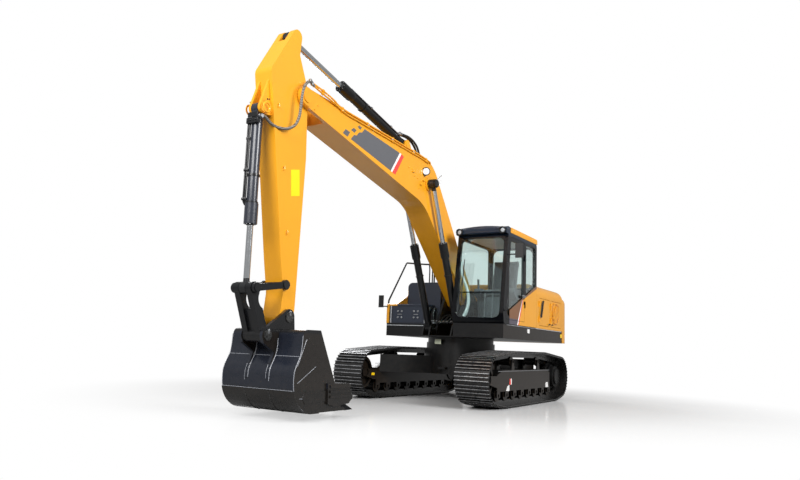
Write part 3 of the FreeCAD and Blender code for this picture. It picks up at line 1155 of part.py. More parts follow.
def arm_outline():
    """Arm outline from the rod-pin head, down the front to the tip and back up the rear."""
    tip = BUCKET_PIVOT
    rear_low = shifted(tip, turned(ARM_ANGLE, -110.0, -ARM_TIP_RADIUS - 24.0))
    front_low = shifted(tip, turned(ARM_ANGLE, -300.0, 96.0))
    back = arm_point(-540.0, 130.0)
    brow = arm_point(-150.0, 640.0)
    return [brow + (120.0,), arm_point(ARM_LENGTH - 740.0, 192.0) + (600.0,), front_low + (200.0,),
            tangent_pair(front_low, 0.0, tip, ARM_TIP_RADIUS, 1)[1],
            tangent_pair(rear_low, 0.0, tip, ARM_TIP_RADIUS, -1)[1], rear_low + (100.0,),
            arm_point(800.0, -150.0) + (900.0,), arm_point(-130.0, -82.0) + (160.0,), back + (60.0,),
            tangent_pair(back, 0.0, ARM_ROD_PIN, BOSS_RADIUS, 1)[1],
            tangent_pair(ARM_ROD_PIN, BOSS_RADIUS, brow, 0.0, 1)[0]]


def arm_band(down0, down1, y0, y1):
    reach = 2000.0
    return slab_y([arm_point(down0, -reach), arm_point(down1, -reach), arm_point(down1, reach),
                   arm_point(down0, reach)], y0, y1)


def arm():
    """Welded box arm with its head ears, bucket-cylinder bracket, guide-link boss and tip boss."""
    outline = arm_outline()
    solid = slab_y(outline, -HALF_ARM, HALF_ARM)
    wire = rounded_wire(outline, lambda p: V(p[0], 0.0, p[1]))
    face = Part.Face(wire).makeOffset2D(-12.0)
    half = HALF_ARM - 8.0
    face.translate(V(0, -half, 0))
    hollow = face.extrude(V(0, 2 * half, 0)).common(arm_band(150.0, ARM_LENGTH - 520.0, -half, half))
    crown = bar_y(ARM_ROD_PIN, BOSS_RADIUS, -HALF_ARM, HALF_ARM)
    tip = bar_y(BUCKET_PIVOT, ARM_TIP_RADIUS, -HALF_ARM, HALF_ARM)
    inner = EYE_WIDTH / 2 + SIDE_CLEARANCE
    outer = inner + 36.0
    slot = [(-1000.0, 640.0), (-730.0, 400.0), (-640.0, 330.0), (-590.0, 270.0), (-575.0, 200.0),
            (-560.0, 60.0),
            (-560.0, -200.0), (-1000.0, -200.0)]
    head = joined([solid, crown, tip]).cut(slab_y([arm_point(*p) for p in slot], -inner, inner))
    body = head.cut(hollow)
    pieces = [body]
    for side in (-1, 1):
        y0, y1 = sorted((side * inner, side * outer))
        pieces.append(bar_y(BRACKET_PIN, BRACKET_RADIUS, y0, y1))
        upper = arm_point(-60.0, 600.0)
        lower = arm_point(430.0, 480.0)
        top = tangent_pair(upper, 0.0, BRACKET_PIN, BRACKET_RADIUS, 1)[1]
        low = tangent_pair(BRACKET_PIN, BRACKET_RADIUS, lower, 0.0, 1)[0]
        pieces.append(slab_y([upper, top, low, lower], y0, y1))
    body = joined(pieces)
    wide = HALF_ARM + 40.0
    holes = [bar_y(p, HOLE_RADIUS, -wide, wide) for p in (ARM_PIVOT, BUCKET_PIVOT, GUIDE_PIVOT,
                                                          BRACKET_PIN)]
    drain0 = arm_point(ARM_LENGTH - 560.0, 20.0)
    drain1 = arm_point(ARM_LENGTH - 300.0, -400.0)
    holes.append(bar(V(drain0[0], 0, drain0[1]), V(drain1[0], 0, drain1[1]), 25.0))
    return body.cut(Part.makeCompound(holes))


# ---- bucket and its linkage
def bucket_point(x, z):
    return shifted(BUCKET_PIVOT, (x, z))


def bucket_corners(inset):
    """Bucket side outline about its pivot, drawn in by the shell's thickness."""
    i = inset
    r = HEEL_RADIUS - inset
    return [(MOUTH_TOP[0] - (0.0 if i == 0 else 40.0), MOUTH_TOP[1] - i, 0.0),
            (165.0 - i, -152.0 - i, max(70.0 - i, 5.0)),
            (178.0 - i, -430.0, 400.0), (HEEL_CENTRE[0] + HEEL_RADIUS * 1.02 - i, -640.0, 260.0),
            (HEEL_CENTRE[0] + HEEL_RADIUS * 0.98 - i, HEEL_CENTRE[1] - HEEL_RADIUS + i, r * 0.92),
            (LIP[0] - (0.0 if i == 0 else 60.0), LIP[1] + i, 0.0)]


def bucket_outline(inset):
    return [bucket_point(x, z) + (r,) for x, z, r in bucket_corners(inset)]


def side_cutter(side):
    """Cutter plate outside one end of the cutting edge, with its level ribs."""
    face = side * BUCKET_WIDTH / 2
    outline = [(-335.0, -790.0), (-790.0, -796.0), (-880.0, -984.0), (-800.0, -1050.0), (-500.0, -1075.0),
               (-350.0, -1040.0)]
    plate_y = sorted((face - side * 4.0, face + side * CUTTER_PLATE))
    rib_y = sorted((face, face + side * (CUTTER_PLATE + CUTTER_RIB)))
    pieces = [slab_y([bucket_point(*corner) for corner in outline], *plate_y)]
    for i in range(CUTTER_RIBS):
        share = (i + 0.5) / CUTTER_RIBS
        x, z = between((-800.0, -800.0), (-872.0, -984.0), share)
        pieces.append(block(*sorted((bucket_point(x, z)[0], bucket_point(-380.0, z)[0])), *rib_y,
                            bucket_point(x, z)[1] - 16.0, bucket_point(x, z)[1] + 16.0))
    return pieces


def bucket():
    """Bucket shell with side plates, hinge ears, back ribs, side edge strips and cutters."""
    half = BUCKET_WIDTH / 2
    body = slab_y(bucket_outline(0.0), -half, half)
    body = body.cut(slab_y(bucket_outline(BUCKET_SHELL), -half + BUCKET_SIDE, half - BUCKET_SIDE))
    notch = [bucket_point(-400.0, -60.0), bucket_point(5.0, -60.0), bucket_point(5.0, -200.0),
             bucket_point(-400.0, -200.0)]
    body = body.cut(slab_y(notch, -EAR_INNER, EAR_INNER))
    pieces = [body]
    link = BUCKET_LINK_PIN
    pivot = BUCKET_PIVOT
    for side in (-1, 1):
        y0, y1 = sorted((side * EAR_INNER, side * EAR_OUTER))
        pieces.append(bar_y(pivot, 100.0, y0, y1))
        pieces.append(bar_y(link, 92.0, y0, y1))
        crown = tangent_pair(pivot, 100.0, link, 92.0, 1)
        ear = [crown[0], crown[1], shifted(link, (92.0, 0.0)), shifted(link, (60.0, -90.0)),
               bucket_point(232.0, -430.0), bucket_point(282.0, -560.0), bucket_point(255.0, -620.0),
               bucket_point(172.0, -430.0), bucket_point(150.0, -160.0),
               bucket_point(-120.0, -160.0), shifted(pivot, (-100.0, 0.0))]
        pieces.append(slab_y(ear, y0, y1))
        y2, y3 = sorted((side * half, side * (half - 40.0)))
        strip = [bucket_point(MOUTH_TOP[0] - 2.0, MOUTH_TOP[1]),
                 bucket_point(MOUTH_TOP[0] + 110.0, MOUTH_TOP[1] - 20.0),
                 bucket_point(LIP[0] + 190.0, LIP[1] + 220.0), bucket_point(LIP[0] + 20.0, LIP[1] + 40.0)]
        pieces.append(slab_y(strip, y2, y3))
        pieces += side_cutter(side)
    edge = [bucket_point(LIP[0] - 70.0, LIP[1]), bucket_point(LIP[0] + 230.0, LIP[1]),
            bucket_point(LIP[0] + 230.0, LIP[1] + 40.0), bucket_point(LIP[0] - 30.0, LIP[1] + 40.0)]
    pieces.append(slab_y(edge, -half, half))
    body = joined(pieces)
    wide = EAR_OUTER + 20.0
    return body.cut(bar_y(pivot, HOLE_RADIUS, -wide, wide)).cut(bar_y(link, HOLE_RADIUS, -wide, wide))


def bucket_teeth():
    """Teeth with their adapters, evenly spaced along the cutting edge."""
    half = BUCKET_WIDTH / 2
    tip_x = -math.sqrt(BUCKET_TIP_RADIUS ** 2 - (LIP[1] - 8.0) ** 2)
    teeth = []
    for i in range(TOOTH_COUNT):
        y = -half + 90.0 + i * (BUCKET_WIDTH - 180.0) / (TOOTH_COUNT - 1)
        side = [bucket_point(tip_x, LIP[1] - 8.0), bucket_point(LIP[0] - 130.0, LIP[1] - 12.0),
                bucket_point(LIP[0] + 60.0, LIP[1] - 0.3), bucket_point(LIP[0] - 70.3, LIP[1] - 0.3),
                bucket_point(LIP[0] - 30.3, LIP[1] + 40.3), bucket_point(LIP[0] + 60.0, LIP[1] + 40.3),
                bucket_point(LIP[0] - 60.0, LIP[1] + 82.0), bucket_point(LIP[0] - 150.0, LIP[1] + 60.0)]
        teeth.append(slab_y(side, y - 42.0, y + 42.0))
    return teeth


def guide_links():
    """Pair of guide links, left and right of the arm."""
    y0 = EAR_INNER
    y1 = EAR_INNER + LINK_PLATE
    plate = joined([strap(GUIDE_PIVOT, GUIDE_BAR_RADIUS, LINK_PIN, GUIDE_BAR_RADIUS, y0, y1),
                    bar_y(GUIDE_PIVOT, GUIDE_BOSS_RADIUS, y0, y1), bar_y(LINK_PIN, GUIDE_BOSS_RADIUS, y0,
                                                                         y1)])
    plate = plate.cut(bar_y(GUIDE_PIVOT, HOLE_RADIUS, y0 - 5.0, y1 + 5.0))
    cap = bar_y(LINK_PIN, GUIDE_BOSS_RADIUS - 10.0, y1 - 1.0, y1 + PIN_CAP)
    return both_sides(joined([plate, cap]))


def bucket_link():
    """H-shaped link: wide lower boss between the bucket ears, two cheeks up to the link pin."""
    inner = EYE_WIDTH / 2 + SIDE_CLEARANCE
    outer = EAR_INNER - SIDE_CLEARANCE
    pieces = [bar_y(BUCKET_LINK_PIN, 80.0, -outer, outer)]
    for side in (-1, 1):
        y0, y1 = sorted((side * inner, side * outer))
        pieces.append(strap(BUCKET_LINK_PIN, LINK_CHEEK_RADIUS, LINK_PIN, LINK_CHEEK_RADIUS, y0, y1))
        pieces.append(bar_y(LINK_PIN, 72.0, y0, y1))
    a = between(BUCKET_LINK_PIN, LINK_PIN, 0.10)
    b = between(BUCKET_LINK_PIN, LINK_PIN, 0.52)
    pieces.append(strap(a, 30.0, b, 30.0, -inner - 5.0, inner + 5.0))
    body = joined(pieces)
    reach = distance(BUCKET_LINK_PIN, BUCKET_PIVOT)
    lie = heading(BUCKET_LINK_PIN, BUCKET_PIVOT)
    for turn in LINK_TIP_TURNS:
        centre = shifted(BUCKET_LINK_PIN, turned(lie + turn, reach))
        body = body.cut(bar_y(centre, ARM_TIP_RADIUS + 9.0, -outer - 5.0, outer + 5.0))
    return body.cut(bar_y(BUCKET_LINK_PIN, HOLE_RADIUS, -outer - 5.0, outer + 5.0))


# ---- cylinders
def axis_point(base, tip, along, y):
    unit = (math.cos(math.radians(heading(base, tip))), math.sin(math.radians(heading(base, tip))))
    return V(base[0] + unit[0] * along, y, base[1] + unit[1] * along)


def barrel(base, tip, length, tube_radius, rod_radius, eye_radius, y):
    """Cylinder barrel: base eye, tube and thicker head, with a bore that the rod runs in."""
    end = axis_point(base, tip, length, y)
    tube = bar(axis_point(base, tip, NECK, y), end, tube_radius)
    head = bar(axis_point(base, tip, length - GLAND_LENGTH, y), end, tube_radius + GLAND_RISE)
    half = EYE_WIDTH / 2
    lie = heading(base, tip)
    neck = slab_y([shifted(base, turned(lie, 0.0, eye_radius - 6.0)),
                   shifted(base, turned(lie, NECK + 10.0, tube_radius - 15.0)),
                   shifted(base, turned(lie, NECK + 10.0, 15.0 - tube_radius)), shifted(base,
                                                                                        turned(lie, 0.0,
                                                                                               6.0 - eye_radius))],
                  y - half, y + half)
    eye = bar_y(base, eye_radius, y - half, y + half)
    body = joined([tube, head, neck, eye])
    bore = bar(axis_point(base, tip, NECK + 18.0, y), axis_point(base, tip, length + 5.0, y),
               rod_radius + ROD_GAP)
    hole = bar_y(base, HOLE_RADIUS, y - EYE_WIDTH, y + EYE_WIDTH)
    return body.cut(bore).cut(hole)


def rod(base, tip, reach, rod_radius, eye_radius, y, cap):
    """Piston rod from inside its barrel to its eye, with the pin's end caps where they show."""
    length = distance(base, tip)
    shaft = bar(axis_point(base, tip, length - reach, y), axis_point(base, tip, length - eye_radius * 0.5,
                                                                     y), rod_radius)
    eye = bar_y(tip, eye_radius, y - EYE_WIDTH / 2, y + EYE_WIDTH / 2)
    pieces = [shaft, eye]
    if cap:
        side = 1 if y > 0 else -1
        pieces.append(bar_y(tip, eye_radius - 14.0, *sorted((y + side * (EYE_WIDTH / 2 - 1.0),
                                                             y + side * (EYE_WIDTH / 2 + PIN_CAP)))))
    return joined(pieces)


def cylinder_pieces():
    y = BOOM_CYLINDER_Y
    left_barrel = barrel(BOOM_CYLINDER_FOOT, BOOM_ROD_PIN, BOOM_BARREL_LENGTH, BOOM_TUBE_RADIUS,
                         BOOM_ROD_RADIUS, 78.0, y)
    left_rod = rod(BOOM_CYLINDER_FOOT, BOOM_ROD_PIN, BOOM_ROD_REACH, BOOM_ROD_RADIUS, 80.0, y, True)
    save("boom_cylinder_barrels", both_sides(left_barrel))
    save("boom_cylinder_rods", both_sides(left_rod))
    save("arm_cylinder_barrel", barrel(ARM_BASE_PIN, ARM_ROD_PIN, ARM_BARREL_LENGTH, ARM_TUBE_RADIUS,
                                       ARM_ROD_RADIUS, 82.0, 0.0))
    save("arm_cylinder_rod", rod(ARM_BASE_PIN, ARM_ROD_PIN, ARM_ROD_REACH, ARM_ROD_RADIUS, 82.0, 0.0,
                                 False))
    save("bucket_cylinder_barrel", barrel(BRACKET_PIN, LINK_PIN, BUCKET_BARREL_LENGTH, BUCKET_TUBE_RADIUS,
                                          BUCKET_ROD_RADIUS, 74.0, 0.0))
    save("bucket_cylinder_rod", rod(BRACKET_PIN, LINK_PIN, BUCKET_ROD_REACH, BUCKET_ROD_RADIUS, 72.0, 0.0,
                                    False))


# ---- pins
def pin(point, half_length, head_radius):
    """Pin across the machine with a cap on each end."""
    shaft = bar_y(point, PIN_RADIUS, -half_length, half_length)
    caps = [bar_y(point, head_radius,
                  *sorted((s * half_length, s * (half_length + PIN_CAP)))) for s in (-1, 1)]
    return joined([shaft] + caps)


def pins():
    bracket_outer = HALF_BOOM + 5.0 + SIDE_CLEARANCE + 42.0
    foot_pins = []
    reach = EYE_WIDTH / 2 + SIDE_CLEARANCE + 28.0
    for side in (-1, 1):
        shaft = bar_y(BOOM_CYLINDER_FOOT, PIN_RADIUS, side * BOOM_CYLINDER_Y - reach,
                      side * BOOM_CYLINDER_Y + reach)
        foot_pins.append(shaft)
    save("deck_pins", [pin(BOOM_FOOT, bracket_outer + 0.3, 70.0)] + foot_pins)
    ear = EYE_WIDTH / 2 + SIDE_CLEARANCE
    save("boom_pins", [pin(ARM_PIVOT, HALF_BOOM + 12.3, 85.0), pin(ARM_BASE_PIN, ear + 34.3, 60.0)])
    save("arm_pins", [pin(GUIDE_PIVOT, EAR_INNER + LINK_PLATE + 0.3, GUIDE_BOSS_RADIUS - 8.0),
                      pin(BRACKET_PIN, ear + 36.3, BRACKET_RADIUS - 14.0)])
    save("bucket_pins", [pin(BUCKET_PIVOT, EAR_OUTER + 0.3, 66.0), pin(BUCKET_LINK_PIN, EAR_OUTER + 0.3,
                                                                       62.0)])


def build():
    os.makedirs("parts", exist_ok=True)
    save("left_track", track_loop(1))
    save("right_track", track_loop(-1))
    save("track_frames", [track_frame(1), track_frame(-1)])
    save("idlers", [idler(1), idler(-1)])
    save("drive_sprockets", [sprocket(1), sprocket(-1)])
    save("track_rollers", rollers(1) + rollers(-1))
    save("car_body", car_body())
    save("upper_deck", deck())
    save("counterweight", counterweight())
    save("house_side_panels", [left_house(), right_house()])
    save("centre_cover", bulkhead_cover())
    save("oil_tank", tank())
    save("tool_box", tool_box())
    save("tool_box_lid", tool_box_lid())
    save("engine_hood", hood())
    save("engine_block", engine())
    save("left_front_door", door_panel(LEFT_DOORS[0][0], LEFT_DOORS[0][1], 1))
    save("left_rear_door", door_panel(LEFT_DOORS[1][0], LEFT_DOORS[1][1], 1))
    save("right_side_door", door_panel(RIGHT_DOOR[0], RIGHT_DOOR[1], -1))
    save("handrails", handrails())
    save("mirrors", mirrors())
    save("work_lamps", work_lamps())
    save("cab_shell", cab_shell())
    save("cab_roof", cab_roof())
    save("cab_windows", cab_windows())
    save("cab_door", cab_door())
    save("cab_door_window", cab_door_window())
    save("operator_seat", seat())
    save("control_consoles", [consoles()] + pedals())
    save("boom", boom())
    save("arm", arm())
    save("bucket", bucket())
    save("bucket_teeth", bucket_teeth())
    save("guide_links", guide_links())
    save("bucket_link", bucket_link())
    cylinder_pieces()
    pins()


build()
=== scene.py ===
"""Crawler excavator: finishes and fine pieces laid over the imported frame."""
import math

import bmesh
import bpy
import numpy as np
from mathutils import Matrix, Vector
from mathutils.geometry import convex_hull_2d


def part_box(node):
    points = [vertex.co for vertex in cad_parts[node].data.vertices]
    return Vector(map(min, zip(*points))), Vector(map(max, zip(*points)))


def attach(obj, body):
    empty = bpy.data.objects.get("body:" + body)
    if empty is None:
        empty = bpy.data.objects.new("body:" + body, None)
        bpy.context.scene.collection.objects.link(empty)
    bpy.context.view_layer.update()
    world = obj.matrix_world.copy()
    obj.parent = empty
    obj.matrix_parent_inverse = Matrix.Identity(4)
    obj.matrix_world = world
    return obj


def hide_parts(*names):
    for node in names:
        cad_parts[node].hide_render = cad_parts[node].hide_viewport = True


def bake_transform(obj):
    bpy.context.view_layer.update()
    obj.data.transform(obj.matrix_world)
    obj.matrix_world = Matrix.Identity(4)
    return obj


bl_info = {
    "name": "Crawler excavator finish",
    "version": (1, 0, 0),
    "blender": (4, 5, 0),
    "location": "View3D > Sidebar > Excavator",
    "description": "Paints the excavator's frame and adds its hoses, pipes, trim and studio",
    "category": "Object",
}

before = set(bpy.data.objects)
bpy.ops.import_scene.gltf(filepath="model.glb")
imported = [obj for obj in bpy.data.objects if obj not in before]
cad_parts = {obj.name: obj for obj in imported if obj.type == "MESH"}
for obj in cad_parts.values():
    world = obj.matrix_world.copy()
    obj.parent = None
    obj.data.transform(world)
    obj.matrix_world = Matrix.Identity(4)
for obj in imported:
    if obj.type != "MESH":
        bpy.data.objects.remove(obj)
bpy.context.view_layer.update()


# ---- places and sizes that several pieces share, in metres
# a cylinder's foot is the pin that carries its barrel, its eye the pin at its rod's end
ARM_FOOT, ARM_EYE = (2.483, 0, 4.336), (5.520, 0, 4.921)
BUCKET_FOOT, BUCKET_EYE = (6.000, 0, 3.772), (5.971, 0, 1.553)
BOOM_FOOT, BOOM_EYE = (0.780, 0, 1.300), (1.919, 0, 3.770)
BOOM_BOSS = 0.022  # the boom's pin bosses stand this far out of its side plates
ARM_BOSS_FACE = 0.1395  # outer face of the arm's pin boss
BUCKET_LINE_CLAMPS = (3.38, 2.98, 2.62)  # heights of the clamps on the bucket cylinder's pipes
LINE_RADIUS = 0.0125  # those pipes
TRACK_MIDDLE = 0.47  # height of the track's middle
LABEL_FACE, LABEL_DEPTH = 1.3402, 0.002  # track frame's outer face, and the thickness of its plates
CAB_SKIN, CAB_FILM = 1.3722, 0.0016  # cab's outer side, and the thickness of its films
CAB_LAMPS, CAB_LAMP_HEIGHT = (0.470, 1.302), 3.030


# ---- colour and node helpers
def linear(code):
    """Linear RGBA of an sRGB hex colour."""
    parts = np.array([int(code[i:i + 2], 16) / 255 for i in (0, 2, 4)])
    values = np.where(parts <= 0.04045, parts / 12.92, ((parts + 0.055) / 1.055) ** 2.4)
    return (*values.tolist(), 1.0)


def node(tree, kind, settings=(), links=()):
    """Adds a node: settings fill its sockets or attributes, links feed its sockets from other outputs."""
    made = tree.nodes.new("ShaderNode" + kind)
    for key, value in dict(settings).items():
        if isinstance(key, int) or key in made.inputs:
            made.inputs[key].default_value = value
        else:
            setattr(made, key, value)
    for key, source in dict(links).items():
        tree.links.new(source, made.inputs[key])
    return made


def blank(name):
    """A new material, its tree emptied but for the surface's places on the object, and those places."""
    material = bpy.data.materials.new(name)
    material.use_nodes = True
    tree = material.node_tree
    tree.nodes.clear()
    return material, tree, node(tree, "TexCoord").outputs["Object"]


def shown(material, shader):
    """The material, with a shader as its surface."""
    tree = material.node_tree
    tree.links.new(shader.outputs[0], node(tree, "OutputMaterial").inputs[0])
    return material


def noise(tree, place, scale, detail=2.0, rough=0.5):
    """Cloudy noise, 0 to 1."""
    settings = {"Scale": scale, "Detail": detail, "Roughness": rough}
    return node(tree, "TexNoise", settings, {"Vector": place}).outputs["Fac"]


def remap(tree, source, low=0.0, high=1.0, start=0.0, full=1.0):
    """A value that goes from low to high while its source goes from start to full."""
    ends = {"From Min": start, "From Max": full, "To Min": low, "To Max": high}
    return node(tree, "MapRange", ends, {"Value": source}).outputs["Result"]


def ramp(tree, source, stops):
    """Colour ramp over (position, sRGB hex) stops."""
    made = tree.nodes.new("ShaderNodeValToRGB")
    tree.links.new(source, made.inputs[0])
    elements = made.color_ramp.elements
    while len(elements) < len(stops):
        elements.new(0.5)
    for element, (position, code) in zip(elements, stops):
        element.position = position
        element.color = linear(code)
    return made.outputs["Color"]


def distance_from(tree, place, spot):
    """Distance in the X-Z plane of a surface point from spot, for masks that follow a pin's axis."""
    flat = node(tree, "VectorMath", {"operation": "MULTIPLY", 1: (1.0, 0.0, 1.0)}, {0: place})
    return node(tree, "VectorMath", {"operation": "DISTANCE", 1: (spot[0], 0.0, spot[1])},
                {0: flat.outputs["Vector"]}).outputs["Value"]


def enamel(name, code, dusty="B9A68C", rough=0.3, coat=0.5, dust=0.06, peel=0.012, shine=0.5, zones=()):
    """Sprayed machine enamel: faint tone drift over half a metre, orange peel, a film of dust on ledges and low down.

    Each zone is masked and given another colour: it starts at one value of a place ("Object") or a facing
    ("Normal") along an axis, and is full at a second value. Some zones are a second spray colour; others are
    painted reflection and painted shade, tied to a facing or a height."""
    material, tree, place = blank(name)
    where = place.node.outputs
    drift = noise(tree, place, 1.9, 3.0)
    tone = node(tree, "HueSaturation", {"Color": linear(code)})
    for kind, axis, start, full, other in zones:
        apart = node(tree, "SeparateXYZ", (), {0: where[kind]})
        mask = remap(tree, apart.outputs[axis], start=start, full=full)
        below = tone.inputs["Color"].links[0].from_socket if tone.inputs["Color"].links else None
        two = node(tree, "Mix", {"data_type": "RGBA", 6: linear(code), 7: linear(other)},
                   {0: mask, **({6: below} if below else {})})
        tree.links.new(two.outputs[2], tone.inputs["Color"])
    lift = remap(tree, drift, 0.94, 1.05)
    tree.links.new(lift, tone.inputs["Value"])
    facing = node(tree, "SeparateXYZ", (), {0: where["Normal"]})
    grime = noise(tree, place, 14.0, 6.0, 0.65)
    ledge = remap(tree, facing.outputs["Z"], 0.0, dust, 0.55, 1.0)
    height = node(tree, "SeparateXYZ", (), {0: place})
    low = remap(tree, height.outputs["Z"], 0.0, dust * 1.6, 1.5, 0.0)
    both = node(tree, "Math", {"operation": "MAXIMUM"}, {0: ledge, 1: low})
    patch = remap(tree, grime, start=0.35, full=0.75)
    amount = node(tree, "Math", {"operation": "MULTIPLY"}, {0: both.outputs[0], 1: patch})
    colour = node(tree, "Mix", {"data_type": "RGBA", 7: linear(dusty)},
                  {0: amount.outputs[0], 6: tone.outputs["Color"]})
    gloss = remap(tree, grime, rough * 0.85, rough * 1.3)
    skin = noise(tree, place, 160.0)
    bump = node(tree, "Bump", {"Strength": peel * 8, "Distance": 0.0006}, {"Height": skin})
    shader = node(tree, "BsdfPrincipled", {"Coat Weight": coat, "Coat Roughness": 0.12, "Specular IOR Level": shine},
                  {"Base Color": colour.outputs[2], "Roughness": gloss, "Normal": bump.outputs["Normal"]})
    return shown(material, shader)


def worn_steel(name, dark, bright, metallic=0.85, rough=0.42, scale=22.0):
    """Working steel: dark scale broken by brighter rubbed patches, with a rough pitted surface."""
    material, tree, place = blank(name)
    patch = noise(tree, place, scale, 8.0, 0.7)
    colour = ramp(tree, patch, ((0.35, dark), (0.72, bright)))
    gloss = remap(tree, patch, rough * 1.3, rough * 0.7)
    pits = noise(tree, place, 220.0, 3.0)
    bump = node(tree, "Bump", {"Strength": 0.25, "Distance": 0.0012}, {"Height": pits})
    shader = node(tree, "BsdfPrincipled", {"Metallic": metallic},
                  {"Base Color": colour, "Roughness": gloss, "Normal": bump.outputs["Normal"]})
    return shown(material, shader)


def tinted_glass():
    """Laminated cab glass: clear, faintly green-blue, hard and smooth; lamps shine through it unbent."""
    material, tree, _ = blank("tinted_glass")
    shader = node(tree, "BsdfPrincipled", {"Base Color": linear("E2EEEC"), "Roughness": 0.02,
                                                     "Transmission Weight": 1.0, "IOR": 1.5})
    clear = node(tree, "BsdfTransparent", {0: linear("E2EEEC")})
    lamp = node(tree, "LightPath").outputs["Is Shadow Ray"]
    both = node(tree, "MixShader", (), {0: lamp, 1: shader.outputs[0], 2: clear.outputs[0]})
    return shown(material, both)


def moulded(name, code, rough=0.5, grain=900.0, bumpy=0.3):
    """Moulded plastic or rubber: even colour with a fine pebbled grain."""
    material, tree, place = blank(name)
    pebble = node(tree, "TexVoronoi", {"Scale": grain / 3.0}, {"Vector": place})
    tone = noise(tree, place, 6.0)
    shade = remap(tree, tone, 0.85, 1.12)
    colour = node(tree, "HueSaturation", {"Color": linear(code)}, {"Value": shade})
    bump = node(tree, "Bump", {"Strength": bumpy, "Distance": 0.0004}, {"Height": pebble.outputs["Distance"]})
    shader = node(tree, "BsdfPrincipled", {"Roughness": rough},
                  {"Base Color": colour.outputs["Color"], "Normal": bump.outputs["Normal"]})
    return shown(material, shader)


def woven_cloth(name, code, light, thread=0.004):
    """Woven seat cloth: crossed threads, drawn 4 mm apart so that they show."""
    material, tree, place = blank(name)
    across = node(tree, "TexWave", {"Scale": math.pi / 10 / thread, "bands_direction": "Y"}, {"Vector": place})
    along = node(tree, "TexWave", {"Scale": math.pi / 10 / thread, "bands_direction": "DIAGONAL"}, {"Vector": place})
    cross = node(tree, "Math", {"operation": "MULTIPLY"}, {0: across.outputs["Fac"], 1: along.outputs["Fac"]})
    colour = ramp(tree, cross.outputs[0], ((0.1, code), (0.9, light)))
    bump = node(tree, "Bump", {"Strength": 0.5, "Distance": 0.001}, {"Height": cross.outputs[0]})
    shader = node(tree, "BsdfPrincipled", {"Roughness": 0.9, "Sheen Weight": 0.25},
                  {"Base Color": colour, "Normal": bump.outputs["Normal"]})
    return shown(material, shader)


def rod_finish(name, eyes, reach):
    """Hard chrome rod whose forged eyes are black enamel: near mirror shaft, satin black within reach of each pin."""
    material, tree, place = blank(name)
    film = noise(tree, place, 9.0, 4.0)
    gloss = remap(tree, film, 0.08, 0.2)
    near = None
    for eye in eyes:
        inside = node(tree, "Math", {"operation": "LESS_THAN", 1: reach},
                      {0: distance_from(tree, place, eye)}).outputs[0]
        near = inside if near is None else node(tree, "Math", {"operation": "MAXIMUM"},
                                                {0: near, 1: inside}).outputs[0]
    colour = node(tree, "Mix", {"data_type": "RGBA", 6: linear("D9DCDF"), 7: linear("18191B")}, {0: near})
    metal = node(tree, "Math", {"operation": "SUBTRACT", 0: 1.0}, {1: near})
    rough = node(tree, "Mix", {"data_type": "FLOAT", 3: 0.4}, {0: near, 2: gloss})
    shader = node(tree, "BsdfPrincipled", (), {"Base Color": colour.outputs[2],
                                                         "Metallic": metal.outputs[0], "Roughness": rough.outputs[0]})
    return shown(material, shader)


def outline_of(node):
    """Points of a node's mesh in X-Z, each once, in order round the track's middle.

    Only those within 3 mm of their convex hull are kept."""
    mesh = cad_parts[node].data
    points = np.empty(len(mesh.vertices) * 3, np.float32)
    mesh.vertices.foreach_get("co", points)
    flat = np.unique(np.round(points.reshape(-1, 3)[:, [0, 2]].astype(float), 4), axis=0)
    ring = flat[convex_hull_2d(flat.tolist())]
    step = np.roll(ring, -1, axis=0) - ring
    apart = flat[:, None] - ring[None]
    away = np.abs(step[None, :, 0] * apart[..., 1] - step[None, :, 1] * apart[..., 0]) / np.linalg.norm(step, axis=1)
    near = flat[away.min(1) < 0.003]
    return near[np.argsort(np.arctan2(near[:, 1] - TRACK_MIDDLE, near[:, 0]))]


def grouser_strips(node, y0, y1):
    """Thin bright strip over the flat tip of each grouser, a painted highlight: between neighbours of the outline 8 to
    16 mm apart.
    """
    ring = outline_of(node)
    after = np.roll(ring, -1, axis=0)
    gap = np.linalg.norm(after - ring, axis=1)
    keep = (gap > 0.008) & (gap < 0.016) & (ring[:, 1] > 0.02)
    shapes = []
    for low, high in zip(ring[keep], after[keep]):
        out = unit((high - low)[::-1] * (1, -1))
        corners = [low + out * 0.0008, high + out * 0.0008, high - out * 0.003, low - out * 0.003]
        shapes.append(side_plate([tuple(corner) for corner in corners], y0, y1 - y0))
    return shapes


def braid(name, dark, light, pitch):
    """Hose in a spiral guard: turns of moulded nylon, drawn a pitch apart that is wide enough to show."""
    material, tree, place = blank(name)
    band = node(tree, "TexWave", {"Scale": math.pi / 10 / pitch, "bands_direction": "DIAGONAL"}, {"Vector": place})
    colour = ramp(tree, band.outputs["Fac"], ((0.2, dark), (0.8, light)))
    bump = node(tree, "Bump", {"Strength": 0.6, "Distance": 0.002}, {"Height": band.outputs["Fac"]})
    shader = node(tree, "BsdfPrincipled", {"Roughness": 0.5}, {"Base Color": colour, "Normal": bump.outputs["Normal"]})
    return shown(material, shader)


def film_vinyl(name, code, rough=0.32):
    """Printed vinyl film: even colour, slight sheen, faint lift in tone where the film stretched."""
    material, tree, place = blank(name)
    tone = noise(tree, place, 3.0)
    shade = remap(tree, tone, 0.95, 1.04)
    colour = node(tree, "HueSaturation", {"Color": linear(code)}, {"Value": shade})
    shader = node(tree, "BsdfPrincipled", {"Roughness": rough}, {"Base Color": colour.outputs["Color"]})
    return shown(material, shader)


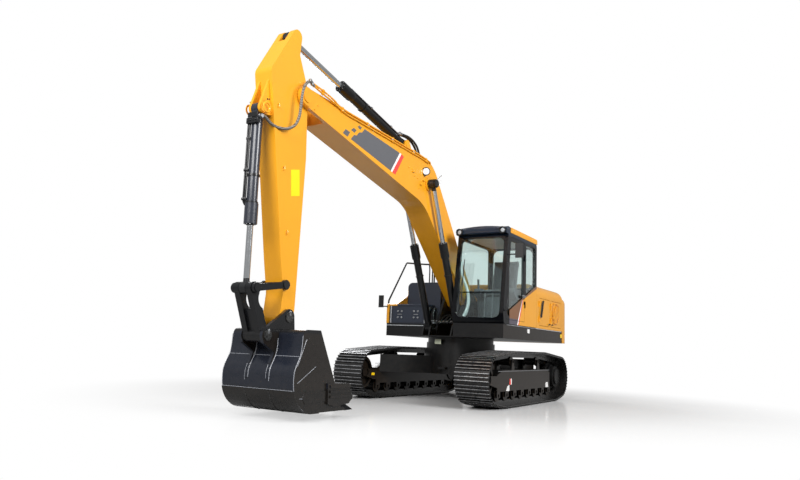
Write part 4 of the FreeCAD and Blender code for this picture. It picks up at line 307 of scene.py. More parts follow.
def lamp_lens():
    """Moulded polycarbonate lens: bright, ribbed, faintly lit from the reflector behind."""
    material, tree, place = blank("lamp_lens_polycarbonate")
    ribs = node(tree, "TexWave", {"Scale": 5.0, "bands_direction": "Y"}, {"Vector": place})
    colour = ramp(tree, ribs.outputs["Fac"], ((0.2, "E3E3EA"), (0.8, "FBFBFF")))
    shader = node(tree, "BsdfPrincipled", {"Roughness": 0.12, "Coat Weight": 1.0}, {"Base Color": colour})
    return shown(material, shader)


FINISH = {}


def finishes(sizes):
    """Every finish of the machine, by the name that pieces ask for."""
    FINISH["yellow"] = enamel("machine_yellow_enamel", sizes.yellow, coat=0.3)
    FINISH["cast_yellow"] = enamel("cast_yellow_enamel", sizes.yellow, rough=0.36, peel=0.05)
    # Black enamel; faces toward +Y are tinted brown: a painted warm reflection on that side only
    FINISH["chassis"] = enamel("chassis_black_enamel_painted_reflection", "0A0B0D", rough=0.32, coat=0.25, dust=0.02, shine=0.35,
                              zones=(("Normal", "Y", 0.80, 0.95, "19120C"),))
    FINISH["hub"] = enamel("hub_black_enamel", "141517", rough=0.4, coat=0.15, dust=0.02, shine=0.35)
    FINISH["shoe"] = enamel("painted_track_shoe_steel", "121315", rough=0.26, coat=0.5, dust=0.02, peel=0.03, shine=0.5)
    # painted highlight: bright steel on the grouser tips stands for the sky's glint on their glossy black paint
    FINISH["grouser_tip_glint"] = worn_steel("grouser_tip_painted_highlight_steel", "77797D", "E6E7E9", metallic=0.85, rough=0.34, scale=14.0)
    FINISH["cab"] = enamel("cab_black_enamel", "06080C", rough=0.2, coat=0.2, dust=0.01, shine=0.2,
                          zones=(("Object", "Z", 2.93, 2.97, "1B2635"),))
    FINISH["slate"] = enamel("slate_blue_enamel", sizes.slate, rough=0.4, coat=0.2, dust=0.03)
    FINISH["cylinder"] = enamel("cylinder_black_enamel", "2A2D36", rough=0.26, coat=0.45, dust=0.02, shine=0.45)
    FINISH["boom_cylinder"] = enamel("boom_cylinder_black_enamel", "0D0E10", rough=0.34, coat=0.25, dust=0.02,
                                     shine=0.3)
    # The bucket is black: its back is painted blue as a painted sky reflection, its side plates brown-black as painted
    # reflection, below z 0.37 darker brown-black as painted shade, above z 1.06 plain black
    FINISH["bucket"] = enamel("bucket_enamel_painted_reflection", "161B26", rough=0.26, coat=0.4, dust=0.015, shine=0.4,
                             zones=(("Normal", "Y", 0.80, 0.95, "1A1613"), ("Normal", "Y", -0.80, -0.95, "1A1613"),
                                    ("Object", "Z", 1.035, 1.06, "0E0F12"), ("Object", "Z", 0.40, 0.37, "12100F")))
    FINISH["linkage"] = enamel("linkage_black_enamel", "0E0F12", rough=0.34, coat=0.25, dust=0.02, shine=0.35)
    FINISH["tooth"] = worn_steel("tooth_cast_steel", "0D0E10", "3A3B3D", rough=0.4, scale=30.0)
    FINISH["pin"] = worn_steel("pin_ground_steel", "1B1C1E", "8C8C8A", rough=0.34, scale=40.0)
    FINISH["black_pin"] = enamel("pin_black_enamel", "0E0F11", rough=0.35, dust=0.02, shine=0.3)
    FINISH["arm_pin"] = enamel("arm_pin_enamel", sizes.yellow, rough=0.35, dust=0.02,
                               zones=(("Object", "Z", 2.52, 2.48, "0E0F11"),))
    # brown: partly the lower door panel's paint, partly a painted reflection of the ground that darkens it
    FINISH["door_panel_painted_reflection"] = enamel("lower_door_paint_painted_reflection", "7A4D26", rough=0.3, dust=0.01)
    FINISH["house_plum"] = enamel("lower_door_plum_enamel", "4A4350", rough=0.3, dust=0.01)
    FINISH["dim_lens"] = film_vinyl("cab_lamp_lens_polycarbonate", "C4CAD0", rough=0.08)
    FINISH["chrome"] = rod_finish("hard_chrome", (BOOM_EYE[::2], ARM_EYE[::2]), 0.13)
    FINISH["bucket_chrome"] = rod_finish("bucket_rod_chrome", (BUCKET_EYE[::2],), 0.115)
    FINISH["glass"] = tinted_glass()
    FINISH["visor"] = enamel("visor_blue_black_enamel", "1F2B3D", rough=0.24, coat=0.6, dust=0.0)
    FINISH["trim"] = moulded("black_trim_plastic", "141517")
    FINISH["cloth"] = woven_cloth("seat_cloth", "1E1F23", "3A3B42")
    FINISH["engine"] = worn_steel("cast_engine_alloy", "4A4B4C", "7C7D7E", metallic=0.6, rough=0.55)
    FINISH["panel_grey"] = film_vinyl("panel_grey_film", "5F6064")
    FINISH["white_film"] = film_vinyl("white_film", "F7F6F4")
    FINISH["red_film"] = film_vinyl("red_film", "E8493F")
    FINISH["silver_film"] = film_vinyl("silver_film", "B9BCC0")
    FINISH["cream_film"] = film_vinyl("cream_film", "DDE3C9")
    FINISH["warning_yellow"] = film_vinyl("yellow_film", "F9DC10")
    FINISH["plated"] = worn_steel("zinc_plated_steel", "8B8D90", "D5D7DA", metallic=0.9, rough=0.3, scale=60.0)
    FINISH["seal"] = moulded("window_seal_rubber", "0C0D0E", rough=0.7)
    FINISH["hose"] = moulded("hydraulic_hose_rubber", "17181A", rough=0.5)
    FINISH["guarded"] = braid("spiral_guard_nylon", "4B4640", "787168", pitch=0.016)
    FINISH["lens"] = lamp_lens()
    FINISH["lining"] = moulded("cab_lining_plastic", "B0B5B6", rough=0.6)
    FINISH["reflector"] = film_vinyl("amber_reflector", "FFD21C", rough=0.15)
    # painted highlight: the beads are light grey to stand for the glints along their ridges
    FINISH["weld"] = enamel("weld_bead_painted_highlight", "8F9299", rough=0.3, peel=0.1, dust=0.0)
    FINISH["console"] = moulded("console_grey_plastic", "3A3D42", rough=0.55)


CAD_FINISH = {
    "yellow": ("boom", "arm", "house_side_panels", "centre_cover", "engine_hood", "left_front_door", "left_rear_door",
               "right_side_door", "cab_roof", "boom_pins"),
    "cast_yellow": ("counterweight",),
    "chassis": ("car_body", "track_frames", "upper_deck", "idlers", "track_rollers"),
    "hub": ("drive_sprockets",),
    "shoe": ("left_track", "right_track"),
    "cab": ("cab_shell", "cab_door", "handrails"),
    "slate": ("tool_box", "tool_box_lid", "oil_tank"),
    "cylinder": ("bucket_cylinder_barrel",),
    "boom_cylinder": ("boom_cylinder_barrels", "arm_cylinder_barrel"),
    "bucket": ("bucket",),
    "linkage": ("bucket_link", "guide_links"),
    "tooth": ("bucket_teeth",),
    "pin": ("deck_pins", "bucket_pins"),
    "arm_pin": ("arm_pins",),
    "chrome": ("boom_cylinder_rods", "arm_cylinder_rod"),
    "bucket_chrome": ("bucket_cylinder_rod",),
    "glass": ("cab_windows", "cab_door_window"),
    "trim": ("mirrors", "work_lamps"),
    "console": ("control_consoles",),
    "cloth": ("operator_seat",),
    "engine": ("engine_block",),
}


# ---- shapes
def unit(vector):
    vector = np.asarray(vector, float)
    return vector / np.linalg.norm(vector, axis=-1, keepdims=True)


def grid_faces(rows, columns, around):
    """Quads of a rows x columns grid of points; around joins the last column to the first."""
    index = np.arange(rows * columns).reshape(rows, columns)
    if around:
        index = np.column_stack([index, index[:, :1]])
    return np.stack([index[:-1, :-1], index[1:, :-1], index[1:, 1:], index[:-1, 1:]], -1).reshape(-1, 4).tolist()


def curve(points, count=40):
    """Catmull-Rom curve: between two points, a cubic whose slope at each is half the step between its neighbours."""
    p = np.asarray(points, float)
    p = np.vstack([2 * p[0] - p[1], p, 2 * p[-1] - p[-2]])
    t = np.linspace(0, len(p) - 3, count)
    k = np.minimum(t.astype(int), len(p) - 4)
    s = (t - k)[:, None]
    a, b, c, d = p[k], p[k + 1], p[k + 2], p[k + 3]
    return 0.5 * (2 * b + (c - a) * s + (2 * a - 5 * b + 4 * c - d) * s ** 2 + (3 * b - a - 3 * c + d) * s ** 3)


def tube(path, radius, sides=12):
    """Circle carried square to a path, its plane turned by the path's own slope, closed with a pole at each end."""
    path = np.asarray(path, float)
    radius = np.broadcast_to(np.asarray(radius, float), (len(path),))[:, None, None]
    slope = unit(np.gradient(path, axis=0))
    fixed = np.linalg.svd(slope)[2][-1]
    across = unit(np.cross(slope, fixed))
    beside = np.cross(across, slope)
    turn = np.linspace(0, 2 * np.pi, sides, endpoint=False)[None, :, None]
    rings = path[:, None] + radius * (np.cos(turn) * across[:, None] + np.sin(turn) * beside[:, None])
    pole = np.ones((1, sides, 1))
    points = np.concatenate([path[:1, None] * pole, rings, path[-1:, None] * pole])
    return points.reshape(-1, 3), grid_faces(len(points), sides, True)


def turned(profile, origin, axis, sides=32):
    """Surface of revolution: each (along, radius) of the profile turned about the axis through origin."""
    along, radius = np.array(profile, float).T
    axis = unit(axis)
    side = unit(np.cross(axis, (0.31, 0.17, 0.93)))
    other = np.cross(axis, side)
    turn = np.linspace(0, 2 * np.pi, sides, endpoint=False)[:, None]
    ring = np.cos(turn) * side + np.sin(turn) * other
    points = np.asarray(origin, float) + along[:, None, None] * axis + radius[:, None, None] * ring
    return points.reshape(-1, 3), grid_faces(len(profile), sides, True)


def disc(origin, axis, radius, depth, edge=0.002, sides=24):
    """Round button: a cylinder with a chamfered rim, from origin along axis."""
    return turned(((0, 0), (0, radius), (depth - edge, radius), (depth, radius - edge), (depth, 0)), origin, axis,
                  sides)


def prism(outline, origin, right, up, depth):
    """Flat outline drawn along right and up from origin, carried through depth along their cross product."""
    flat = np.asarray(outline, float)
    right, up = np.asarray(right, float), np.asarray(up, float)
    low = np.asarray(origin, float) + flat[:, :1] * right + flat[:, 1:] * up
    high = low + np.cross(right, up) * depth
    count = len(flat)
    walls = grid_faces(2, count, True)
    return np.concatenate([low, high]), walls + [list(range(count))[::-1], list(range(count, 2 * count))]


def box(low, high):
    """Closed box between two corners."""
    (x0, y0, z0), (x1, y1, z1) = low, high
    return prism(((x0, y0), (x1, y0), (x1, y1), (x0, y1)), (0, 0, z0), (1, 0, 0), (0, 1, 0), z1 - z0)


def side_plate(outline, y, depth):
    """Prism drawn in X-Z on the plane y, carried outwards (+Y for a positive depth)."""
    return prism([(z, x) for x, z in outline], (0, y, 0), (0, 0, 1), (1, 0, 0), depth)


def rounded(width, height, radius, steps=6):
    """Outline of a rectangle with round corners about its centre: a quarter circle at each corner."""
    turn = np.linspace(0, np.pi / 2, steps)
    corner = np.column_stack([np.cos(turn), np.sin(turn)]) * radius
    place = np.array([width / 2 - radius, height / 2 - radius])
    quarter = [corner + place, corner[::-1] * (-1, 1) + place * (-1, 1), -corner - place,
               corner[::-1] * (1, -1) + place * (1, -1)]
    return np.concatenate(quarter)


def frame_of(outline, inner, origin, right, up, depth):
    """Closed band between an outline and its inner copy, carried through depth along the cross product."""
    right, up = np.asarray(right, float), np.asarray(up, float)
    push = np.cross(right, up) * depth
    rings = [np.asarray(origin, float) + flat[:, :1] * right + flat[:, 1:] * up + lift * push
             for flat, lift in ((outline, 0), (outline, 1), (inner, 1), (inner, 0), (outline, 0))]
    points = np.stack(rings)
    return points.reshape(-1, 3), grid_faces(5, len(outline), True)


def piece(name, shapes, finish, body, edge=0.0, crease=35):
    """One object of several closed shapes, its places in its mesh, riding on a body."""
    points, faces, start = [], [], 0
    for vertices, quads in shapes:
        points.append(vertices)
        faces += [[corner + start for corner in face] for face in quads]
        start += len(vertices)
    mesh = bpy.data.meshes.new(name)
    mesh.from_pydata(np.concatenate(points).tolist(), [], faces)
    work = bmesh.new()
    work.from_mesh(mesh)
    bmesh.ops.remove_doubles(work, verts=work.verts, dist=1e-6)
    bmesh.ops.dissolve_degenerate(work, edges=work.edges, dist=1e-7)
    bmesh.ops.recalc_face_normals(work, faces=work.faces)
    work.to_mesh(mesh)
    work.free()
    mesh.shade_smooth()
    mesh.set_sharp_from_angle(angle=math.radians(crease))
    mesh.materials.append(FINISH[finish])
    made = bpy.data.objects.new(name, mesh)
    bpy.context.scene.collection.objects.link(made)
    if edge:
        bevel = made.modifiers.new("edge", "BEVEL")
        bevel.width = edge
        bevel.segments = 2
        bevel.limit_method = "ANGLE"
        bevel.angle_limit = math.radians(40)
    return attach(made, body) if body else made


# ---- properties
class ExcavatorSizes(bpy.types.PropertyGroup):
    """Sizes and colours of the excavator's finish."""
    yellow: bpy.props.StringProperty(name="Yellow", description="Body enamel, sRGB hex", default="EBA21C")
    slate: bpy.props.StringProperty(name="Slate blue", description="Tool box and tank enamel, sRGB hex",
                                    default="262D3C")
    pipe_radius: bpy.props.FloatProperty(name="Pipe radius", description="Hard pipe along the boom", default=0.013,
                                         unit="LENGTH")
    hose_radius: bpy.props.FloatProperty(name="Hose radius", description="Guarded hose from boom to arm", default=0.019,
                                         unit="LENGTH")
    film: bpy.props.FloatProperty(name="Film", description="Thickness of a stripe or panel film", default=0.0008,
                                  unit="LENGTH")
    lens: bpy.props.FloatProperty(name="Lens", description="Camera focal length in millimetres", default=29.07)


def sizes_of(context):
    return context.scene.excavator_sizes


# ---- operators
class PaintFrame(bpy.types.Operator):
    """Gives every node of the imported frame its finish."""
    bl_idname = "excavator.paint_frame"
    bl_label = "Paint the frame"

    def execute(self, context):
        finishes(sizes_of(context))
        for finish, names in CAD_FINISH.items():
            for name in names:
                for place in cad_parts[name].material_slots:
                    place.material = FINISH[finish]
        return {"FINISHED"}


class MarkBoom(bpy.types.Operator):
    """Blank grey panel, its three stepped squares, and the white and red slanted stripes on the boom's side."""
    bl_idname = "excavator.mark_boom"
    bl_label = "Boom panel and stripes"

    def execute(self, context):
        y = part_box("boom")[1].y - BOOM_BOSS
        film = sizes_of(context).film
        grey = (((4.303, 3.872), (4.229, 3.956), (4.161, 3.969), (4.099, 4.038), (4.029, 4.055), (3.963, 4.130),
                 (2.925, 4.054), (3.179, 3.688)),
                ((4.504, 3.901), (4.440, 3.978), (4.327, 3.966), (4.386, 3.880)),
                ((4.308, 4.008), (4.244, 4.062), (4.168, 4.047), (4.224, 3.989)),
                ((4.149, 4.108), (4.100, 4.142), (4.038, 4.126), (4.079, 4.082)))
        piece("boom_panel", [side_plate(shape, y, film) for shape in grey], "panel_grey", "boom")
        piece("boom_white_stripe",
              [side_plate(((2.925, 4.054), (2.875, 4.048), (3.135, 3.675), (3.179, 3.688)), y, film)],
              "white_film", "boom")
        piece("boom_red_stripe", [side_plate(((2.875, 4.048), (2.790, 4.030), (3.033, 3.662), (3.135, 3.675)), y,
                                             film)],
              "red_film", "boom")
        return {"FINISHED"}


def clamp(place, along, radius, thick=0.03):
    """Saddle over one pipe: a short sleeve with a rounded rim, square to the pipe's direction."""
    along = unit(along)
    start = np.asarray(place, float) - along * thick / 2
    wide = radius * 1.7
    return turned(((0, radius * 0.9), (0, wide * 0.92), (thick * 0.15, wide), (thick * 0.85, wide),
                   (thick, wide * 0.92), (thick, radius * 0.9), (0, radius * 0.9)), start, along, 16)


def fitting(place, along, radius, length=0.06):
    """Hose fitting: ferrule, hexagon and collar, as one turned profile."""
    return turned(((0, 0), (0, radius * 1.25), (length * 0.45, radius * 1.3), (length * 0.5, radius * 0.9),
                   (length * 0.6, radius * 0.9), (length * 0.62, radius * 1.55), (length * 0.9, radius * 1.55),
                   (length, radius * 1.1), (length, 0)), place, along, 12)


def top_edge(x):
    """Height of the boom's top plate at the side, from the knee to the nose, and down the back to the foot."""
    return np.interp(x, (0.1, 1.6, 1.9, 2.0, 2.2, 5.2), (2.152, 3.978, 4.179, 4.205, 4.217, 4.264))


class PipeBoom(bpy.types.Operator):
    """Hard pipes along the top near edge of the boom, their clamps, and the nose fittings."""
    bl_idname = "excavator.pipe_boom"
    bl_label = "Boom pipes"

    def execute(self, context):
        r = sizes_of(context).pipe_radius
        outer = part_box("boom")[1].y - BOOM_BOSS
        pipes, clamps, bolts, ends = [], [], [], []
        for lane, drop, y, stop in ((0, 0.016, outer + r, 1.93), (1, 0.058, outer + r, 2.02)):
            run = np.linspace(4.45, stop, 9)
            lie = np.column_stack([run, np.full(9, y), top_edge(run) - drop])
            nose = [(5.29 - 0.05 * lane, y + 0.02, 4.345 - 0.03 * lane), (5.05, y + 0.02, 4.338 - drop),
                    (4.80, y + 0.015, 4.300 - drop * 0.9), (4.66, y + 0.004, 4.262 - drop * 0.6)]
            tail = [(stop - 0.05, y - 0.01, top_edge(stop - 0.05) - drop - 0.01)]
            path = curve(nose + lie.tolist() + tail, 90)
            pipes.append(tube(path, r))
            ends.append(fitting(path[0], (0.86, 0, 0.3), r * 1.3))
            for x in (5.05, 4.55, 3.9, 3.2, 2.5, 2.05):
                spot = path[np.argmin(np.abs(path[:, 0] - x))]
                clamps.append(clamp(spot, (1, 0, 0.02), r))
        for x in (4.55, 3.9, 3.2, 2.5):
            z = top_edge(x) - 0.037
            bolts.append(box((x - 0.02, outer - 0.001, z - 0.012), (x + 0.02, outer + 0.026, z + 0.012)))
            bolts.append(disc((x, outer + 0.026, z), (0, 1, 0), 0.009, 0.008, sides=6))
        piece("boom_pipes", pipes, "yellow", "boom")
        piece("boom_pipe_clamps", clamps, "yellow", "boom")
        piece("boom_pipe_bolts", bolts, "plated", "boom", edge=0.002)
        piece("boom_nose_fittings", ends, "plated", "boom")
        return {"FINISHED"}


class PlumbArm(bpy.types.Operator):
    """Guarded hose looping from the boom nose past the arm pivot to the bucket cylinder's head, and its pipes."""
    bl_idname = "excavator.plumb_arm"
    bl_label = "Arm and bucket cylinder hoses"

    def execute(self, context):
        r = sizes_of(context).hose_radius
        out = 0.262
        route = [(5.29, out - 0.03, 4.345), (5.39, out, 4.315), (5.475, out + 0.01, 4.22), (5.512, out + 0.012, 4.08),
                 (5.520, out + 0.01, 3.93), (5.525, out, 3.80), (5.565, out - 0.02, 3.675), (5.65, out - 0.06, 3.600),
                 (5.76, out - 0.11, 3.580), (5.88, out - 0.14, 3.60), (5.98, out - 0.15, 3.655), (6.05, 0.105, 3.660)]
        hose = piece("arm_hose_1", [tube(curve(route, 110), r, 14)], "guarded", None)
        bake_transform(hose)
        ends = [fitting((6.045, 0.125, 3.650), (-0.1, -1.0, 0.02), r, 0.07)]
        block, pipes, saddles = [], [], []
        for y in (-0.078, -0.050):
            pipes.append(tube(curve([(6.060, y, 3.60), (6.062, y, 3.52), (6.060, y, 3.40), (6.054, y, 3.00),
                                     (6.050, y, 2.66), (6.047, y, 2.60), (6.030, y * 0.8, 2.55)], 40), LINE_RADIUS))
            for height in BUCKET_LINE_CLAMPS:
                saddles.append(clamp((6.056, y, height), (0, 0, 1), LINE_RADIUS))
        block.append(box((6.045, -0.085, 3.56), (6.100, 0.095, 3.63)))
        block.append(box((6.050, -0.075, 3.64), (6.092, 0.080, 3.70)))
        for y in (-0.06, -0.02, 0.03, 0.07):
            block.append(disc((6.100, y, 3.595), (1, 0, 0), 0.010, 0.010, sides=6))
        for height in BUCKET_LINE_CLAMPS:
            block.append(box((6.020, -0.092, height - 0.014), (6.050, -0.030, height + 0.014)))
        piece("bucket_cylinder_fittings", ends, "plated", "bucket_barrel")
        piece("bucket_cylinder_block", block, "black_pin", "bucket_barrel", edge=0.003)
        piece("bucket_cylinder_pipes", pipes, "black_pin", "bucket_barrel")
        piece("bucket_cylinder_clamps", saddles, "black_pin", "bucket_barrel")
        return {"FINISHED"}


def along_bar(start, end, distance_in):
    """Point at a distance from start on the line to end, and that line's direction."""
    start, end = np.asarray(start, float), np.asarray(end, float)
    way = unit(end - start)
    return start + way * distance_in, way


class FitCylinders(bpy.types.Operator):
    """Gland bolts, rod wipers, pipes, clamps and hoses of the cylinders, and the rod-eye caps with their bails."""
    bl_idname = "excavator.fit_cylinders"
    bl_label = "Cylinder fittings"

    def execute(self, context):
        rigs = (("arm", "arm_barrel", ARM_FOOT, ARM_EYE, 1.90, 0.074, (0.0,)),
                ("bucket", "bucket_barrel", BUCKET_FOOT, BUCKET_EYE, 1.45, 0.066, (0.0,)),
                ("boom", "boom_barrels", BOOM_FOOT, BOOM_EYE, 1.64, 0.064, (-0.295, 0.295)))
        for name, body, foot, eye, length, radius, stations in rigs:
            bolts, wipers, bands = [], [], []
            for y in stations:
                base, tip = np.array(foot) + (0, y, 0), np.array(eye) + (0, y, 0)
                head, way = along_bar(base, tip, length)
                side, other = np.array((0, 1.0, 0)), np.cross(way, (0, 1.0, 0))
                for turn in np.arange(0, 2 * np.pi, np.pi / 4):
                    ring = (np.cos(turn) * side + np.sin(turn) * other) * (radius - 0.006)
                    bolts.append(disc(head + ring, way, 0.0085, 0.011, sides=6))
                wipers.append(turned(((0.0005, 0), (0.0005, radius * 0.78), (0.012, radius * 0.76),
                                      (0.016, radius * 0.7), (0.016, 0)), head, way, 28))
                for spot in (length - 0.26, length - 0.60):
                    place, _ = along_bar(base, tip, spot)
                    bands.append(turned(((-0.012, radius), (-0.012, radius + 0.012), (0.012, radius + 0.012),
                                         (0.012, radius), (-0.012, radius)), place, way, 28))
            piece(name + "_gland_bolts", bolts, "plated", body)
            piece(name + "_rod_wipers", wipers, "seal", body)
            piece(name + "_barrel_bands", bands, "black_pin", body)
        foot, eye = ARM_FOOT, ARM_EYE
        collar = ((1.585, 0.073), (1.60, 0.079), (1.64, 0.080), (1.66, 0.088), (1.80, 0.0895), (1.82, 0.084),
                  (1.84, 0.084), (1.855, 0.0895), (1.885, 0.089), (1.895, 0.082), (1.895, 0.070), (1.585, 0.070),
                  (1.585, 0.073))
        piece("arm_gland_collar", [turned(collar, foot, np.subtract(eye, foot), 40)], "boom_cylinder", "arm_barrel")
        lines, saddles = [], []
        for y in (0.030, 0.068):
            path = [along_bar(foot, eye, d)[0] + np.array((-0.011, y, 0.062 if y < 0.05 else 0.048))
                    for d in (0.25, 0.50, 1.00, 1.50, 1.72)]
            lines.append(tube(curve(path, 40), 0.011))
            for d in (0.55, 1.15):
                saddles.append(clamp(along_bar(foot, eye, d)[0] + (-0.011, y, 0.055), np.subtract(eye, foot), 0.011))
        piece("arm_cylinder_pipes", lines, "cylinder", "arm_barrel")
        piece("arm_cylinder_clamps", saddles, "plated", "arm_barrel")
        loops, ends = [], []
        for y in (0.035, 0.085):
            route = [(2.73, y, 4.455), (2.62, y, 4.470), (2.47, y + 0.01, 4.475), (2.33, y + 0.02, 4.445),
                     (2.22, y + 0.03, 4.38), (2.15, y + 0.03, 4.30), (2.11, y + 0.03, 4.225)]
            loops.append(tube(curve(route, 50), 0.019))
            ends.append(fitting((2.112, y + 0.03, 4.250), (0.05, 0, -1.0), 0.02, 0.05))
            ends.append(fitting((2.70, y, 4.458), (1.0, 0, -0.05), 0.02, 0.07))
        hoses = piece("arm_cylinder_hoses", loops, "hose", None)
        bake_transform(hoses)
        piece("arm_cylinder_hose_ends", ends[1::2], "plated", "arm_barrel")
        piece("boom_top_hose_ends", ends[0::2], "plated", "boom")
        caps, bails = [], []
        for side in (-1, 1):
            eye_place = np.array((BOOM_EYE[0], side * 0.350, BOOM_EYE[2]))
            caps.append(turned(((0, 0), (0, 0.072), (0.020, 0.076), (0.034, 0.066), (0.040, 0.0)), eye_place,
                               (0, side, 0), 28))
            loop = [eye_place + (0.03, side * 0.036, 0.05), eye_place + (-0.06, side * 0.05, 0.13),
                    eye_place + (-0.13, side * 0.05, 0.17), eye_place + (-0.12, side * 0.05, 0.13),
                    eye_place + (-0.05, side * 0.045, -0.02), eye_place + (-0.02, side * 0.036, -0.04)]
            bails.append(tube(curve(loop, 40), 0.0045, 8))
        piece("boom_rod_eye_caps", caps, "black_pin", "boom")
        piece("boom_rod_eye_wires", bails, "plated", "boom")
        return {"FINISHED"}


class LightBoom(bpy.types.Operator):
    """Round work lamp on the boom's side, with its bracket, rim and lens, and small weld studs."""
    bl_idname = "excavator.light_boom"
    bl_label = "Boom lamp and studs"

    def execute(self, context):
        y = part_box("boom")[1].y - BOOM_BOSS
        place = np.array((2.055, y, 3.958))
        forward = unit((0.75, 0.55, -0.15))
        seat = place + (0.02, 0.03, 0)
        piece("boom_lamp_bracket", [box((2.02, y - 0.002, 3.90), (2.09, y + 0.012, 3.985)),
                                    box((2.035, y, 3.93), (2.06, y + 0.05, 3.96))], "black_pin", "boom", edge=0.003)
        piece("boom_lamp_body", [turned(((-0.05, 0), (-0.05, 0.03), (-0.03, 0.055), (0.0, 0.068), (0.03, 0.072),
                                         (0.036, 0.070), (0.036, 0.062), (0.026, 0.060),
                                         (0.026, 0)), seat, forward, 32)],
              "trim", "boom")
        piece("boom_lamp_lens", [turned(((0.0262, 0), (0.0262, 0.0595), (0.032, 0.055), (0.037, 0.03), (0.038, 0)),
                                        seat,
                                        forward, 32)], "lens", "boom")
        studs = [disc((x, y - 0.001, z), (0, 1, 0), 0.010, 0.012, sides=12)
                 for x, z in ((2.62, 3.90), (2.50, 3.90), (2.42, 3.80), (2.30, 3.78), (5.10, 4.10), (5.16, 4.02),
                              (2.25, 3.62), (2.15, 3.72))]
        lugs = [box((x - 0.03, y - 0.001, z - 0.008), (x + 0.03, y + 0.022, z + 0.008))
                for x, z in ((2.47, 3.855), (2.20, 3.70), (2.10, 3.79))]
        piece("boom_weld_studs", studs + lugs, "yellow", "boom", edge=0.002)
        side = 0.1402
        piece("arm_blank_plate", [side_plate(((5.473, 3.115), (5.309, 3.157), (5.273, 2.812), (5.437, 2.776)),
                                             side - 0.0004, 0.002)], "warning_yellow", "arm")
        hooks = [tube(curve([(x, side - 0.002, z), (x, side + 0.022, z), (x, side + 0.026, z + 0.02),
                             (x, side + 0.022, z + 0.045), (x, side - 0.002, z + 0.045)], 24), 0.006, 8)
                 for x, z in ((5.80, 3.84), (5.62, 3.073), (5.48, 2.275))]
        piece("arm_hose_hooks", hooks, "yellow", "arm")
        bosses, greasers = [], []
        for sign in (-1, 1):
            place = (5.998, sign * ARM_BOSS_FACE, 3.773)
            bosses.append(turned(((0, 0.046), (0.012, 0.050), (0.012, 0.066), (0.004, 0.073), (0, 0.073), (0, 0.046)),
                                 place, (0, sign, 0), 36))
            for x, z in ((5.998, 3.876), (5.968, 3.884)):
                greasers.append(disc((x, sign * ARM_BOSS_FACE, z), (0, sign, 0), 0.011, 0.008, sides=12))
        piece("arm_bracket_bosses", bosses, "yellow", "arm")
        piece("arm_grease_points", greasers, "black_pin", "arm")
        return {"FINISHED"}


def weld(points, radius=0.008, count=60):
    """Weld bead: a tube along its seam whose radius ripples every 12 mm as the runs were laid."""
    path = curve(points, count)
    step = np.concatenate([[0], np.cumsum(np.linalg.norm(np.diff(path, axis=0), axis=1))])
    return tube(path, radius * (1 + 0.18 * np.sin(step * 2 * np.pi / 0.024)), 8)


BUCKET_BACK = ((5.544, 1.024), (5.549, 0.908), (5.553, 0.861), (5.559, 0.815), (5.575, 0.771), (5.596, 0.728),
               (5.635, 0.659), (5.656, 0.609), (5.664, 0.569), (5.667, 0.500), (5.662, 0.429), (5.653, 0.380),
               (5.638, 0.332), (5.616, 0.287), (5.588, 0.245), (5.555, 0.208), (5.516, 0.176), (5.474, 0.149),
               (5.428, 0.129), (5.380, 0.115), (5.330, 0.108), (5.100, 0.107), (4.900, 0.107), (4.720, 0.107))


def back_run(high, low, lift, count=40):
    """Points down the bucket's back between two heights, lift metres outside its plate."""
    x, z = np.array(BUCKET_BACK).T
    keep = np.linspace(0, len(x) - 1, 400)
    x, z = np.interp(keep, np.arange(len(x)), x), np.interp(keep, np.arange(len(z)), z)
    slope = unit(np.column_stack([np.gradient(x), np.gradient(z)]))
    out = np.column_stack([x - lift * slope[:, 1], z + lift * slope[:, 0]])
    inside = out[(z <= high) & (z >= low)]
    return inside[np.linspace(0, len(inside) - 1, count).astype(int)]


